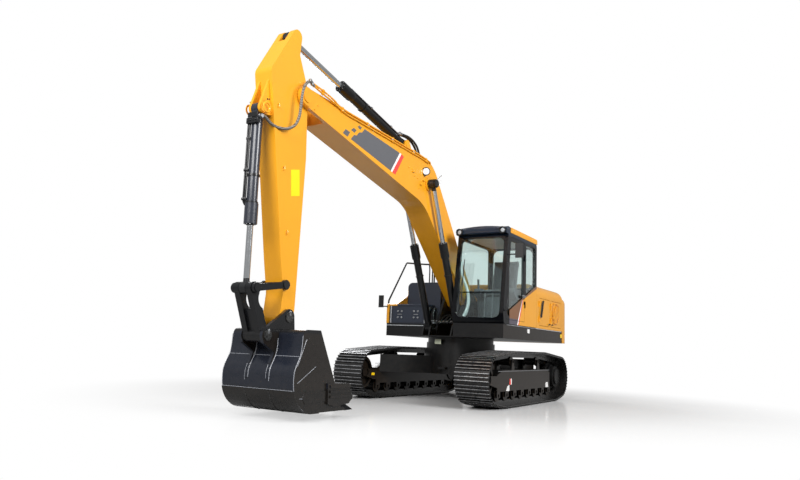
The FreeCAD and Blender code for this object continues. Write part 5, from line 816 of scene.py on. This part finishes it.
class DressBucket(bpy.types.Operator):
    """Ribs, weld beads, the folded seam and the wear plate on the bucket's back, wear strips and pin retainers."""
    bl_idname = "excavator.dress_bucket"
    bl_label = "Bucket ribs, welds and wear plates"

    def execute(self, context):
        side = 0.570
        beads, ribs, seams = [], [], []
        for sign in (-1, 1):
            run = back_run(0.90, 0.49, 0.0)
            outer = back_run(0.90, 0.49, 0.012)
            ribs.append(side_plate(np.vstack([run, outer[::-1]]).tolist(), min(sign * 0.150, sign * 0.188), 0.038))
            for y in (0.144, 0.194):
                low = 0.47 if y > 0.15 else 0.50
                path = back_run(0.98, low, 0.004)
                beads.append(weld(np.column_stack([path[:, 0], np.full(len(path), sign * y), path[:, 1]]), 0.0045, 140))
            lower = back_run(0.366, 0.112, 0.0095)
            seams.append(tube(np.column_stack([lower[:, 0], np.full(len(lower), sign * 0.19), lower[:, 1]]), 0.004, 8))
        for height, lift in ((0.772, 0.000), (0.378, 0.008)):
            spot = back_run(height + 0.01, height - 0.01, lift)[20]
            beads.append(weld([(spot[0], y, spot[1]) for y in np.linspace(-side + 0.01, side - 0.01, 6)], 0.0035, 160))
        for y in (-side - 0.001, side + 0.001):
            for seam in (((5.469, 0.978), (5.610, 0.66)), ((5.596, 0.463), (5.266, 0.655)),
                         ((5.548, 0.287), (5.116, 0.267))):
                beads.append(weld([(x, y, z) for x, z in seam], 0.0035))
            rim = back_run(1.02, 0.14, 0.0)
            beads.append(weld(np.column_stack([rim[:, 0], np.full(len(rim), y), rim[:, 1]]), 0.0038, 140))
        # the beads' light grey is a painted highlight
        piece("bucket_weld_beads", beads, "weld", "bucket")
        piece("bucket_wear_seams", seams, "black_pin", "bucket")
        piece("bucket_back_ribs", ribs, "bucket", "bucket", edge=0.002)
        under, over = back_run(0.374, 0.1072, 0.0005, 60), back_run(0.374, 0.1072, 0.009, 60)
        wrap = side_plate(np.vstack([under, over[::-1]]).tolist(), -side - 0.008, 2 * side + 0.016)
        piece("bucket_wear_plate", [wrap], "bucket", "bucket", edge=0.0015)
        strips = []
        for y0, y1 in ((side - 0.001, side + 0.006), (-side - 0.006, -side + 0.001)):
            strips.append(side_plate(((5.50, 0.30), (5.42, 0.36), (4.98, 0.36), (4.96, 0.24), (5.44, 0.22)), y0,
                                     y1 - y0))
        piece("bucket_side_wear_strips", strips, "bucket", "bucket", edge=0.002)
        retainers = []
        for sign in (-1, 1):
            for x, z in ((5.3704, 1.2418), (5.740, 1.007)):
                y = sign * 0.1985
                retainers.append(box((x - 0.012, min(y, y + sign * 0.012), z + 0.02),
                                     (x + 0.012, max(y, y + sign * 0.012), z + 0.075)))
                retainers.append(disc((x, y + sign * 0.012, z + 0.062), (0, sign, 0), 0.010, 0.009, sides=6))
        piece("bucket_pin_retainers", retainers, "plated", "bucket", edge=0.002)
        return {"FINISHED"}


class DressTracks(bpy.types.Operator):
    """Hub bolts, blank plates and reflectors of the running gear."""
    bl_idname = "excavator.dress_tracks"
    bl_label = "Track frame details"

    def execute(self, context):
        bolts, rims, plates, ambers, lines = [], [], [], [], []
        for side in (-1, 1):
            for x, z, radius, y in ((-1.7225, 0.462, 0.155, 1.374), (1.7225, 0.462, 0.06, 1.319)):
                for turn in np.arange(0, 2 * np.pi, np.pi / (8 if x < 0 else 3)):
                    spot = (x + radius * np.cos(turn), side * y, z + radius * np.sin(turn))
                    bolts.append(disc(spot, (0, side, 0), 0.013, 0.012, sides=6))
                rims.append(turned(((0, radius * 0.72), (0.006, radius * 0.72), (0.006, radius * 0.80),
                                    (0, radius * 0.80), (0, radius * 0.72)), (x, side * y, z), (0, side, 0), 40))
            y = side * 1.341
            # painted highlight: a plated strip along each track frame's top edge stands for the light line seen there
            lines.append(box((-1.35, min(y, y - side * 0.004), 0.590), (1.35, max(y, y - side * 0.004), 0.602)))
            if side > 0:
                plates.append(side_plate(((0.840, 0.262), (0.842, 0.366), (0.925, 0.345), (0.990, 0.266)), LABEL_FACE,
                                         LABEL_DEPTH))
                plates.append(side_plate(((0.731, 0.367), (0.733, 0.466), (0.775, 0.466), (0.770, 0.367)), LABEL_FACE,
                                         LABEL_DEPTH))
                plates.append(side_plate(((-1.277, 0.265), (-1.251, 0.361), (-1.119, 0.361), (-1.112, 0.268)),
                                         LABEL_FACE, LABEL_DEPTH))
                ambers.append(side_plate(((0.772, 0.367), (0.777, 0.466), (0.828, 0.465), (0.836, 0.367)), LABEL_FACE,
                                         LABEL_DEPTH))
        # painted highlight: a bright strip on each grouser tip stands for the glint on its glossy paint
        strips = grouser_strips("left_track", 0.893, 1.487) + grouser_strips("right_track", -1.487, -0.893)
        piece("grouser_tip_painted_highlights", strips, "grouser_tip_glint", "undercarriage")
        piece("hub_bolts", bolts, "hub", "undercarriage")
        piece("hub_rims", rims, "hub", "undercarriage")
        piece("frame_amber_reflector",
              [prism(rounded(0.10, 0.045, 0.01), (1.50, -1.0395, 0.428), (-1, 0, 0), (0, 0, 1), 0.004)],
              "reflector", "undercarriage")
        piece("drum_blank_plate", [prism(rounded(0.13, 0.09, 0.008), (0.706, -0.135, 1.06), (0, 1, 0), (0, 0, 1),
                                         0.004)],
              "cream_film", "upper")
        # the frame edge strips are a painted highlight
        piece("frame_edge_highlight", lines, "plated", "undercarriage", edge=0.001)
        piece("track_frame_white_plate", plates, "white_film", "undercarriage")
        piece("track_frame_red_plate", ambers, "red_film", "undercarriage")
        return {"FINISHED"}


class DressHouse(bpy.types.Operator):
    """Stripes, louvres, handles, latches, reflectors, steps and the second hand rail of the house."""
    bl_idname = "excavator.dress_house"
    bl_label = "House trim"

    def execute(self, context):
        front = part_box("tool_box")[1].x
        latches = []
        for y in (-1.053, -0.690):
            for z in (1.628, 1.508):
                for offset in (-0.044, 0.044):
                    latches.append(disc((front, y + offset, z), (1, 0, 0), 0.019, 0.014, sides=20))
            latches.append(box((front - 0.001, y - 0.050, 1.561), (front + 0.010, y + 0.050, 1.575)))
        piece("tool_box_latches", latches, "plated", "upper", edge=0.002)
        seam = [frame_of(rounded(0.70, 0.31, 0.03), rounded(0.69, 0.30, 0.026), (front - 0.001, -0.875, 1.565),
                         (0, 1, 0), (0, 0, 1), 0.003)]
        piece("tool_box_front_seam", seam, "seal", "upper")
        gap = [box((front - 0.002, -1.294, 1.40), (front + 0.003, -1.268, 1.735))]
        piece("tool_box_edge_gap", gap, "seal", "upper", edge=0.001)
        # painted highlight: silver strips at the tool box front's edges stand for the light lines along them
        silver = [box((front - 0.002, -1.267, 1.40), (front + 0.004, -1.246, 1.735)),
                  box((front - 0.002, -0.507, 1.40), (front + 0.004, -0.485, 1.735))]
        piece("tool_box_edge_painted_highlights", silver, "silver_film", "upper", edge=0.001)
        step = [box((front - 0.32, -1.345, 1.155), (front - 0.005, -0.49, 1.345)),
                box((front - 0.30, -1.350, 1.348), (front, -0.49, 1.360))]
        piece("tool_box_step_edge", [box((front - 0.003, -1.345, 1.347), (front + 0.003, -0.49, 1.361))], "silver_film",
              "upper",
              edge=0.001)
        piece("tool_box_step", step, "cab", "upper", edge=0.006)
        tread = [box((front - 0.29 + 0.03 * k, -1.30, 1.360),
                     (front - 0.275 + 0.03 * k, -0.54, 1.366)) for k in range(9)]
        piece("tool_box_step_tread", tread, "plated", "upper", edge=0.001)
        hoop = [(-0.80, -1.169, 2.20), (-0.80, -1.169, 2.60), (-0.80, -1.175, 2.73), (-0.80, -1.120, 2.765),
                (-0.80, -1.10, 2.70), (-0.80, -1.10, 2.20)]
        piece("second_hand_rail", [tube(curve(hoop, 60), 0.014)], "cab", "upper")
        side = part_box("left_front_door")[1].y
        for name, place, finish in (("rear_amber_reflector", (-2.10, 1.3505, 1.296), "reflector"),
                                    ("side_white_reflector", (-0.065, 1.3505, 1.317), "white_film")):
            piece(name, [prism(rounded(0.11, 0.075, 0.008), place, (-1, 0, 0), (0, 0, 1), 0.006)], finish, "upper")
        # painted shade: a black sheet behind the bars stands for the dark space seen through the louvre
        slot = ((-0.800, 1.950), (-0.880, 1.950), (-0.760, 1.610), (-0.680, 1.610))
        piece("left_door_louvre", [side_plate(slot, side - 0.0004, 0.002)], "seal", "left_front_door")
        bars = []
        for k in range(11):
            x, z = -0.696 - 0.0108 * k, 1.630 + 0.0305 * k
            bars.append(side_plate(((x + 0.004, z), (x - 0.076, z), (x - 0.080, z + 0.012), (x, z + 0.012)),
                                   side + 0.001, 0.006))
        piece("left_door_louvre_bars", bars, "cab", "left_front_door", edge=0.001)
        turn = np.linspace(0, 2 * np.pi, 40, endpoint=False)
        oval = np.column_stack([np.sign(np.cos(turn)) * np.abs(np.cos(turn)) ** 0.7 * 0.20,
                                np.sign(np.sin(turn)) * np.abs(np.sin(turn)) ** 0.7 * 0.215])
        rim = [frame_of(oval, oval * 0.90, (-1.66, side - 0.001, 1.745), (-1, 0, 0), (0, 0, 1), 0.010)]
        bars = []
        for k in np.linspace(-0.14, 0.14, 5):
            reach = 0.185 * np.sqrt(1 - (abs(k) / 0.2) ** 2)
            line = np.array([(k + 0.10, reach), (k + 0.135, reach), (k - 0.065, -reach), (k - 0.10, -reach)]) * (1,
                                                                                                                 0.85)
            bars.append(prism(line, (-1.66, side - 0.001, 1.745), (-1, 0, 0), (0, 0, 1), 0.007))
        piece("left_rear_door_vent", rim + bars, "yellow", "left_rear_door", edge=0.002)
        # painted shade: black sheets stand for the slots, dark with the shade of the space behind
        slots = [side_plate(((x, 1.90), (x - 0.02, 1.90), (x - 0.02, 1.60), (x, 1.60)), -side + 0.0004, -0.002)
                 for x in np.linspace(-1.30, -1.80, 13)]
        piece("right_door_louvres", slots, "seal", "right_side_door")
        trim = [box((-2.16, 1.3495, 1.380), (-0.46, 1.3535, 1.392)), box((-0.45, 1.3495, 1.380), (1.03, 1.3535, 1.390))]
        piece("skirt_silver_trim", trim, "silver_film", "upper")
        hoses, ends = [], []
        for y, x, high in ((-0.432, 0.60, 1.66), (-0.384, 0.63, 1.70), (-0.336, 0.60, 1.64), (-0.288, 0.63, 1.69),
                           (0.288, 0.60, 1.66), (0.340, 0.63, 1.69)):
            hoses.append(tube(curve([(x, y, 1.40), (x + 0.012, y, 1.50), (x - 0.01, y, high - 0.04),
                                     (x - 0.07, y, high), (x - 0.13, y, high - 0.05), (x - 0.15, y, 1.52),
                                     (x - 0.15, y, 1.40)], 50), 0.017))
            ends.append(fitting((x, y, 1.398), (0.02, 0, 1), 0.018, 0.07))
            ends.append(fitting((x - 0.15, y, 1.398), (0.0, 0, 1), 0.018, 0.07))
        for y in (-0.19, -0.11, -0.03, 0.06, 0.15):
            hoses.append(tube(curve([(0.625, y, 1.405), (0.605, y, 1.427), (0.52, y, 1.450), (0.44, y * 1.05, 1.488),
                                     (0.34, y * 1.1, 1.540), (0.25, y, 1.573), (0.15, y * 0.9, 1.595)], 50), 0.0165))
            ends.append(fitting((0.612, y, 1.421), (-0.95, 0, 0.22), 0.017, 0.065))
        piece("swing_manifold_hoses", hoses, "hose", "upper")
        piece("swing_manifold_fittings", ends, "plated", "upper")
        for body, x, sign in (("left_front_door", -1.24, 1), ("left_rear_door", -1.42, 1),
                              ("right_side_door", -1.02, -1)):
            handle = [prism(rounded(0.07, 0.030, 0.008), (x, sign * (side - 0.001), 1.50), (-sign, 0, 0), (0, 0, 1),
                            0.004),
                      prism(rounded(0.05, 0.014, 0.006), (x, sign * (side + 0.003), 1.50), (-sign, 0, 0), (0, 0, 1),
                            0.010)]
            piece(body + "_handle", handle, "trim", body, edge=0.002)
        return {"FINISHED"}


def cut_at(outline, axis, value, keep):
    """The part of a flat outline on one side of a line across an axis: keep is 1 for above, -1 for below."""
    kept = []
    for here, there in zip(outline, outline[1:] + outline[:1]):
        inside, next_inside = (here[axis] - value) * keep >= 0, (there[axis] - value) * keep >= 0
        if inside:
            kept.append(here)
        if inside != next_inside:
            share = (value - here[axis]) / (there[axis] - here[axis])
            kept.append(tuple(here[k] + share * (there[k] - here[k]) for k in (0, 1)))
    return tuple(kept)


class DressCab(bpy.types.Operator):
    """Lamp lenses and hoods, visor, headliner, pillar lining, side films, front bar, roof ribs and ridges, wiper, grab
    rail and door handle of the cab.
    """
    bl_idname = "excavator.dress_cab"
    bl_label = "Cab trim"

    def execute(self, context):
        piece("cab_lamp_lenses", [turned(((0, 0), (0, 0.0385), (0.004, 0.034), (0.007, 0.018), (0.008, 0)),
                                         (1.1535, y, CAB_LAMP_HEIGHT), (1, 0, 0),
                                         28) for y in CAB_LAMPS], "dim_lens", "upper")
        arch = [(y, 0.052 - 0.045 * ((y - 0.886) / 0.49) ** 2) for y in np.linspace(1.376, 0.396, 15)]
        brow = np.array([(0.396, -0.030), (0.52, -0.062), (0.70, -0.072), (1.07, -0.072), (1.25, -0.062),
                         (1.376, -0.030)] + arch)
        slices = [(1.00, 0.55), (1.05, 0.85), (1.095, 1.0), (1.13, 0.92), (1.145, 0.62)]
        shell = np.stack([np.column_stack([np.full(len(brow), x), 0.886 + (brow[:, 0] - 0.886) * (0.985 + 0.015 * grow),
                                           3.075 + brow[:, 1] * grow]) for x, grow in slices])
        ends = [shell.mean(1, keepdims=True)[k] * np.ones((len(brow), 1)) for k in (0, -1)]
        shell = np.concatenate([ends[0][None], shell, ends[1][None]])
        piece("cab_visor", [(shell.reshape(-1, 3), grid_faces(len(shell), len(brow), True))], "visor", "upper",
              crease=50)
        hoods = [turned(((-0.05, 0), (-0.05, 0.050), (0.004, 0.062), (0.040, 0.060), (0.040, 0.050), (0.008, 0.046),
                         (0.008, 0)),
                        (1.145, y, CAB_LAMP_HEIGHT), (1, 0, 0), 28) for y in CAB_LAMPS]
        piece("cab_lamp_hoods", hoods, "seal", "upper")
        lining = [box((-0.38, 0.47, 2.944), (0.98, 1.30, 2.956))]
        piece("cab_headliner", lining, "lining", "upper", edge=0.003)
        pillar = tube(curve([(1.06, 0.49, 2.50), (1.08, 0.50, 2.31), (1.09, 0.56, 2.14), (1.10, 0.62, 2.00),
                             (1.10, 0.655, 1.80), (1.10, 0.62, 1.62),
                             (1.10, 0.57, 1.52)], 40), np.linspace(0.018, 0.034, 40), 14)
        piece("cab_pillar_lining", [pillar], "lining", "upper")
        # the brown film is partly the panel's paint and partly a painted reflection of the ground
        films = (("brown", "door_panel_painted_reflection",
                  ((0.960, 1.640), (-0.455, 2.200), (-0.455, 2.145), (0.330, 1.860), (0.545, 1.500), (0.960, 1.500))),
                 ("plum", "house_plum", ((0.960, 1.500), (0.545, 1.500), (0.600, 1.400), (0.960, 1.400))),
                 ("white", "white_film", ((0.355, 1.850), (0.320, 1.862), (0.540, 1.400), (0.585, 1.400))),
                 ("red", "red_film", ((0.320, 1.862), (0.285, 1.872), (0.495, 1.400), (0.540, 1.400))),
                 ("yellow", "yellow", ((0.285, 1.872), (-0.455, 2.145), (-0.455, 1.400), (0.495, 1.400))))
        rear_edge, low_edge = 0.214, 1.472
        for name, finish, outline in films:
            on_door = cut_at(cut_at(outline, 0, 0.222, 1), 1, 1.478, 1)
            behind, sill = cut_at(outline, 0, rear_edge, -1), cut_at(cut_at(outline, 0, rear_edge, 1), 1, low_edge, -1)
            if len(on_door) > 2:
                piece("cab_door_" + name, [side_plate(on_door, CAB_SKIN, CAB_FILM)], finish, "cab_door")
            rest = [side_plate(part, CAB_SKIN, CAB_FILM) for part in (behind, sill) if len(part) > 2]
            if rest:
                piece("cab_side_" + name, rest, finish, "upper")
        bar = [box((1.198, 0.49, 1.925), (1.214, 1.28, 1.945))]
        piece("cab_front_bar", bar, "cab", "upper", edge=0.003)
        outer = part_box("cab_roof")[1].y
        ribs = [box((-0.33 + 0.115 * k, outer - 0.003, 3.030),
                    (-0.30 + 0.115 * k, outer + 0.003, 3.085)) for k in range(11)]
        piece("cab_roof_ribs", ribs, "yellow", "upper", edge=0.002)
        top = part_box("cab_roof")[1].z
        ridges = [box((-0.30, y, top - 0.002), (0.80, y + 0.03, top + 0.004)) for y in (0.60, 0.80, 1.00, 1.17)]
        piece("cab_roof_ridges", ridges, "yellow", "upper", edge=0.002)
        wiper = [tube(curve([(1.263, 0.50, 1.60), (1.262, 0.52, 1.75), (1.248, 0.60, 2.20)], 20), 0.007, 8),
                 tube(curve([(1.262, 0.585, 1.78), (1.243, 0.60, 2.20), (1.215, 0.615, 2.52)], 24), 0.009, 6)]
        piece("cab_wiper", wiper, "trim", "upper")
        grip = [tube(curve([(1.150, 1.384, 1.62), (1.150, 1.41, 1.64), (1.148, 1.42, 1.80), (1.140, 1.42, 2.2),
                            (1.130, 1.41, 2.42), (1.128, 1.384, 2.44)], 30), 0.011, 10)]
        piece("cab_grab_rail", grip, "trim", "upper")
        handle = [prism(rounded(0.15, 0.05, 0.016), (0.30, 1.393, 1.93), (-1, 0, 0), (0, 0, 1), 0.006),
                  prism(rounded(0.12, 0.02, 0.009), (0.30, 1.399, 1.935), (-1, 0, 0), (0, 0, 1), 0.014)]
        piece("cab_door_handle", handle, "plated", "cab_door", edge=0.002)
        return {"FINISHED"}


class PadSeat(bpy.types.Operator):
    """Operator's seat: crowned cushion and backrest of cloth, swelled by simulation."""
    bl_idname = "excavator.pad_seat"
    bl_label = "Operator's seat"

    def execute(self, context):
        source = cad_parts["operator_seat"]
        made = bpy.data.objects.new("seat_cushion", source.data.copy())
        context.scene.collection.objects.link(made)
        work = bmesh.new()
        work.from_mesh(made.data)
        bmesh.ops.remove_doubles(work, verts=work.verts, dist=1e-5)
        middle = np.array([vertex.co for vertex in work.verts]).mean(0)
        bmesh.ops.transform(work, matrix=Matrix.Translation(middle) @ Matrix.Diagonal((0.965, 0.955, 0.965, 1.0))
                            @ Matrix.Translation(-middle), verts=work.verts)
        work.to_mesh(made.data)
        work.free()
        grain = made.modifiers.new("grain", "REMESH")
        grain.mode = "VOXEL"
        grain.voxel_size = 0.006
        bake(made, context)
        rest = np.empty(len(made.data.vertices) * 3, np.float32)
        made.data.vertices.foreach_get("co", rest)
        cloth = made.modifiers.new("swell", "CLOTH")
        cloth.settings.use_pressure = True
        cloth.settings.uniform_pressure_force = 4.0
        cloth.settings.effector_weights.gravity = 0.0
        for number in range(1, 21):
            context.scene.frame_set(number)
        bake(made, context)
        swelled = np.empty_like(rest)
        made.data.vertices.foreach_get("co", swelled)
        move = (swelled - rest).reshape(-1, 3)
        far = np.linalg.norm(move, axis=1, keepdims=True)
        move *= np.minimum(1.0, 0.016 / np.maximum(far, 1e-9))
        made.data.vertices.foreach_set("co", (rest + move.ravel()))
        context.scene.frame_set(1)
        made.data.shade_smooth()
        made.data.materials.clear()
        made.data.materials.append(FINISH["cloth"])
        made.modifiers.new("soften", "SUBSURF").levels = 1
        made.modifiers["soften"].render_levels = 1
        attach(made, "upper")
        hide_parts("operator_seat")
        return {"FINISHED"}


def bake(made, context):
    """Replaces a piece's mesh with the one that its modifiers give, and removes them."""
    context.view_layer.update()
    shape = bpy.data.meshes.new_from_object(made.evaluated_get(context.evaluated_depsgraph_get()))
    made.modifiers.clear()
    made.data = shape


class BuildStage(bpy.types.Operator):
    """Pale floor, soft light and the camera."""
    bl_idname = "excavator.build_stage"
    bl_label = "Build the stage"

    def execute(self, context):
        context.scene.view_settings.view_transform = "Standard"
        floor = bpy.data.meshes.new("studio_floor")
        reach = 60.0
        floor.from_pydata([(-reach, -reach, 0), (reach, -reach, 0), (reach, reach, 0), (-reach, reach, 0)], [],
                          [(0, 1, 2, 3)])
        ground = bpy.data.objects.new("studio_floor", floor)
        context.scene.collection.objects.link(ground)
        floor.materials.append(studio_floor())
        world = bpy.data.worlds.new("studio_world")
        context.scene.world = world
        world.use_nodes = True
        tree = world.node_tree
        sky = tree.nodes["Background"]
        sky.inputs[0].default_value = linear("FFFFFF")
        rays = node(tree, "LightPath").outputs
        seen = node(tree, "Math", {"operation": "MAXIMUM"},
                    {0: rays["Is Camera Ray"], 1: rays["Is Transmission Ray"]}).outputs[0]
        strength = remap(tree, seen, 0.36, 1.0)
        tree.links.new(strength, sky.inputs[1])
        for name, place, size, power, goal in (("key_light", (4.0, 15.0, 10.0), 8.0, 2900.0, (1.5, 0, 2.2)),
                                               ("front_light", (14.0, 1.0, 8.0), 7.0, 1500.0, (1.5, 0, 2.0)),
                                               ("rim_light", (-7.0, -10.0, 9.0), 6.0, 900.0, (0, 0, 1.8))):
            lamp = bpy.data.lights.new(name, "AREA")
            lamp.size = size
            lamp.energy = power
            holder = bpy.data.objects.new(name, lamp)
            context.scene.collection.objects.link(holder)
            holder.location = place
            holder.rotation_euler = Vector(np.subtract(goal, place)).to_track_quat("-Z", "Y").to_euler()
        eye = bpy.data.cameras.new("studio_camera")
        eye.lens = sizes_of(context).lens
        eye.sensor_width = 36.0
        holder = bpy.data.objects.new("studio_camera", eye)
        context.scene.collection.objects.link(holder)
        holder.matrix_world = Matrix(((-0.5092, 0.1606, 0.8455, 11.6128), (0.8597, 0.0485, 0.5085, 5.5029),
                                      (0.0407, 0.9858, -0.1628, 0.9369), (0, 0, 0, 1)))
        context.scene.camera = holder
        return {"FINISHED"}


def studio_floor():
    """Painted studio floor: white and smooth enough for a pale reflection; bounced light finds it darker."""
    material, tree, place = blank("pale_studio_floor")
    drift = noise(tree, place, 0.6)
    gloss = remap(tree, drift, 0.12, 0.16)
    seen = node(tree, "LightPath").outputs["Is Camera Ray"]
    shade = node(tree, "Mix", {"data_type": "RGBA", 6: linear("8A8A8A"), 7: linear("FFFFFF")}, {0: seen})
    shader = node(tree, "BsdfPrincipled", (), {"Roughness": gloss, "Base Color": shade.outputs[2]})
    glow = node(tree, "Emission", {"Color": linear("FFFFFF"), "Strength": 1.0})
    away = node(tree, "VectorMath", {"operation": "LENGTH"}, {0: place})
    far = node(tree, "MapRange", {"interpolation_type": "SMOOTHSTEP", "From Min": 2.6, "From Max": 7.5},
               {"Value": away.outputs["Value"]})
    fade = node(tree, "Math", {"operation": "MULTIPLY"}, {0: far.outputs["Result"], 1: seen})
    both = node(tree, "MixShader", (), {0: fade.outputs[0], 1: shader.outputs[0], 2: glow.outputs[0]})
    return shown(material, both)


class ExcavatorPanel(bpy.types.Panel):
    """Lists the excavator's pieces."""
    bl_idname = "VIEW3D_PT_excavator"
    bl_label = "Excavator"
    bl_space_type = "VIEW_3D"
    bl_region_type = "UI"
    bl_category = "Excavator"

    def draw(self, context):
        for operator in OPERATORS:
            self.layout.operator(operator.bl_idname)


OPERATORS = (PaintFrame, MarkBoom, PipeBoom, PlumbArm, FitCylinders, LightBoom, DressBucket, DressTracks, DressHouse,
             DressCab, PadSeat, BuildStage)
CLASSES = (ExcavatorSizes,) + OPERATORS + (ExcavatorPanel,)


def register():
    for each in CLASSES:
        bpy.utils.register_class(each)
    bpy.types.Scene.excavator_sizes = bpy.props.PointerProperty(type=ExcavatorSizes)


def unregister():
    del bpy.types.Scene.excavator_sizes
    for each in reversed(CLASSES):
        bpy.utils.unregister_class(each)


def main():
    register()
    for operator in OPERATORS:
        group, name = operator.bl_idname.split(".")
        getattr(getattr(bpy.ops, group), name)()


if __name__ == "__main__":
    main()
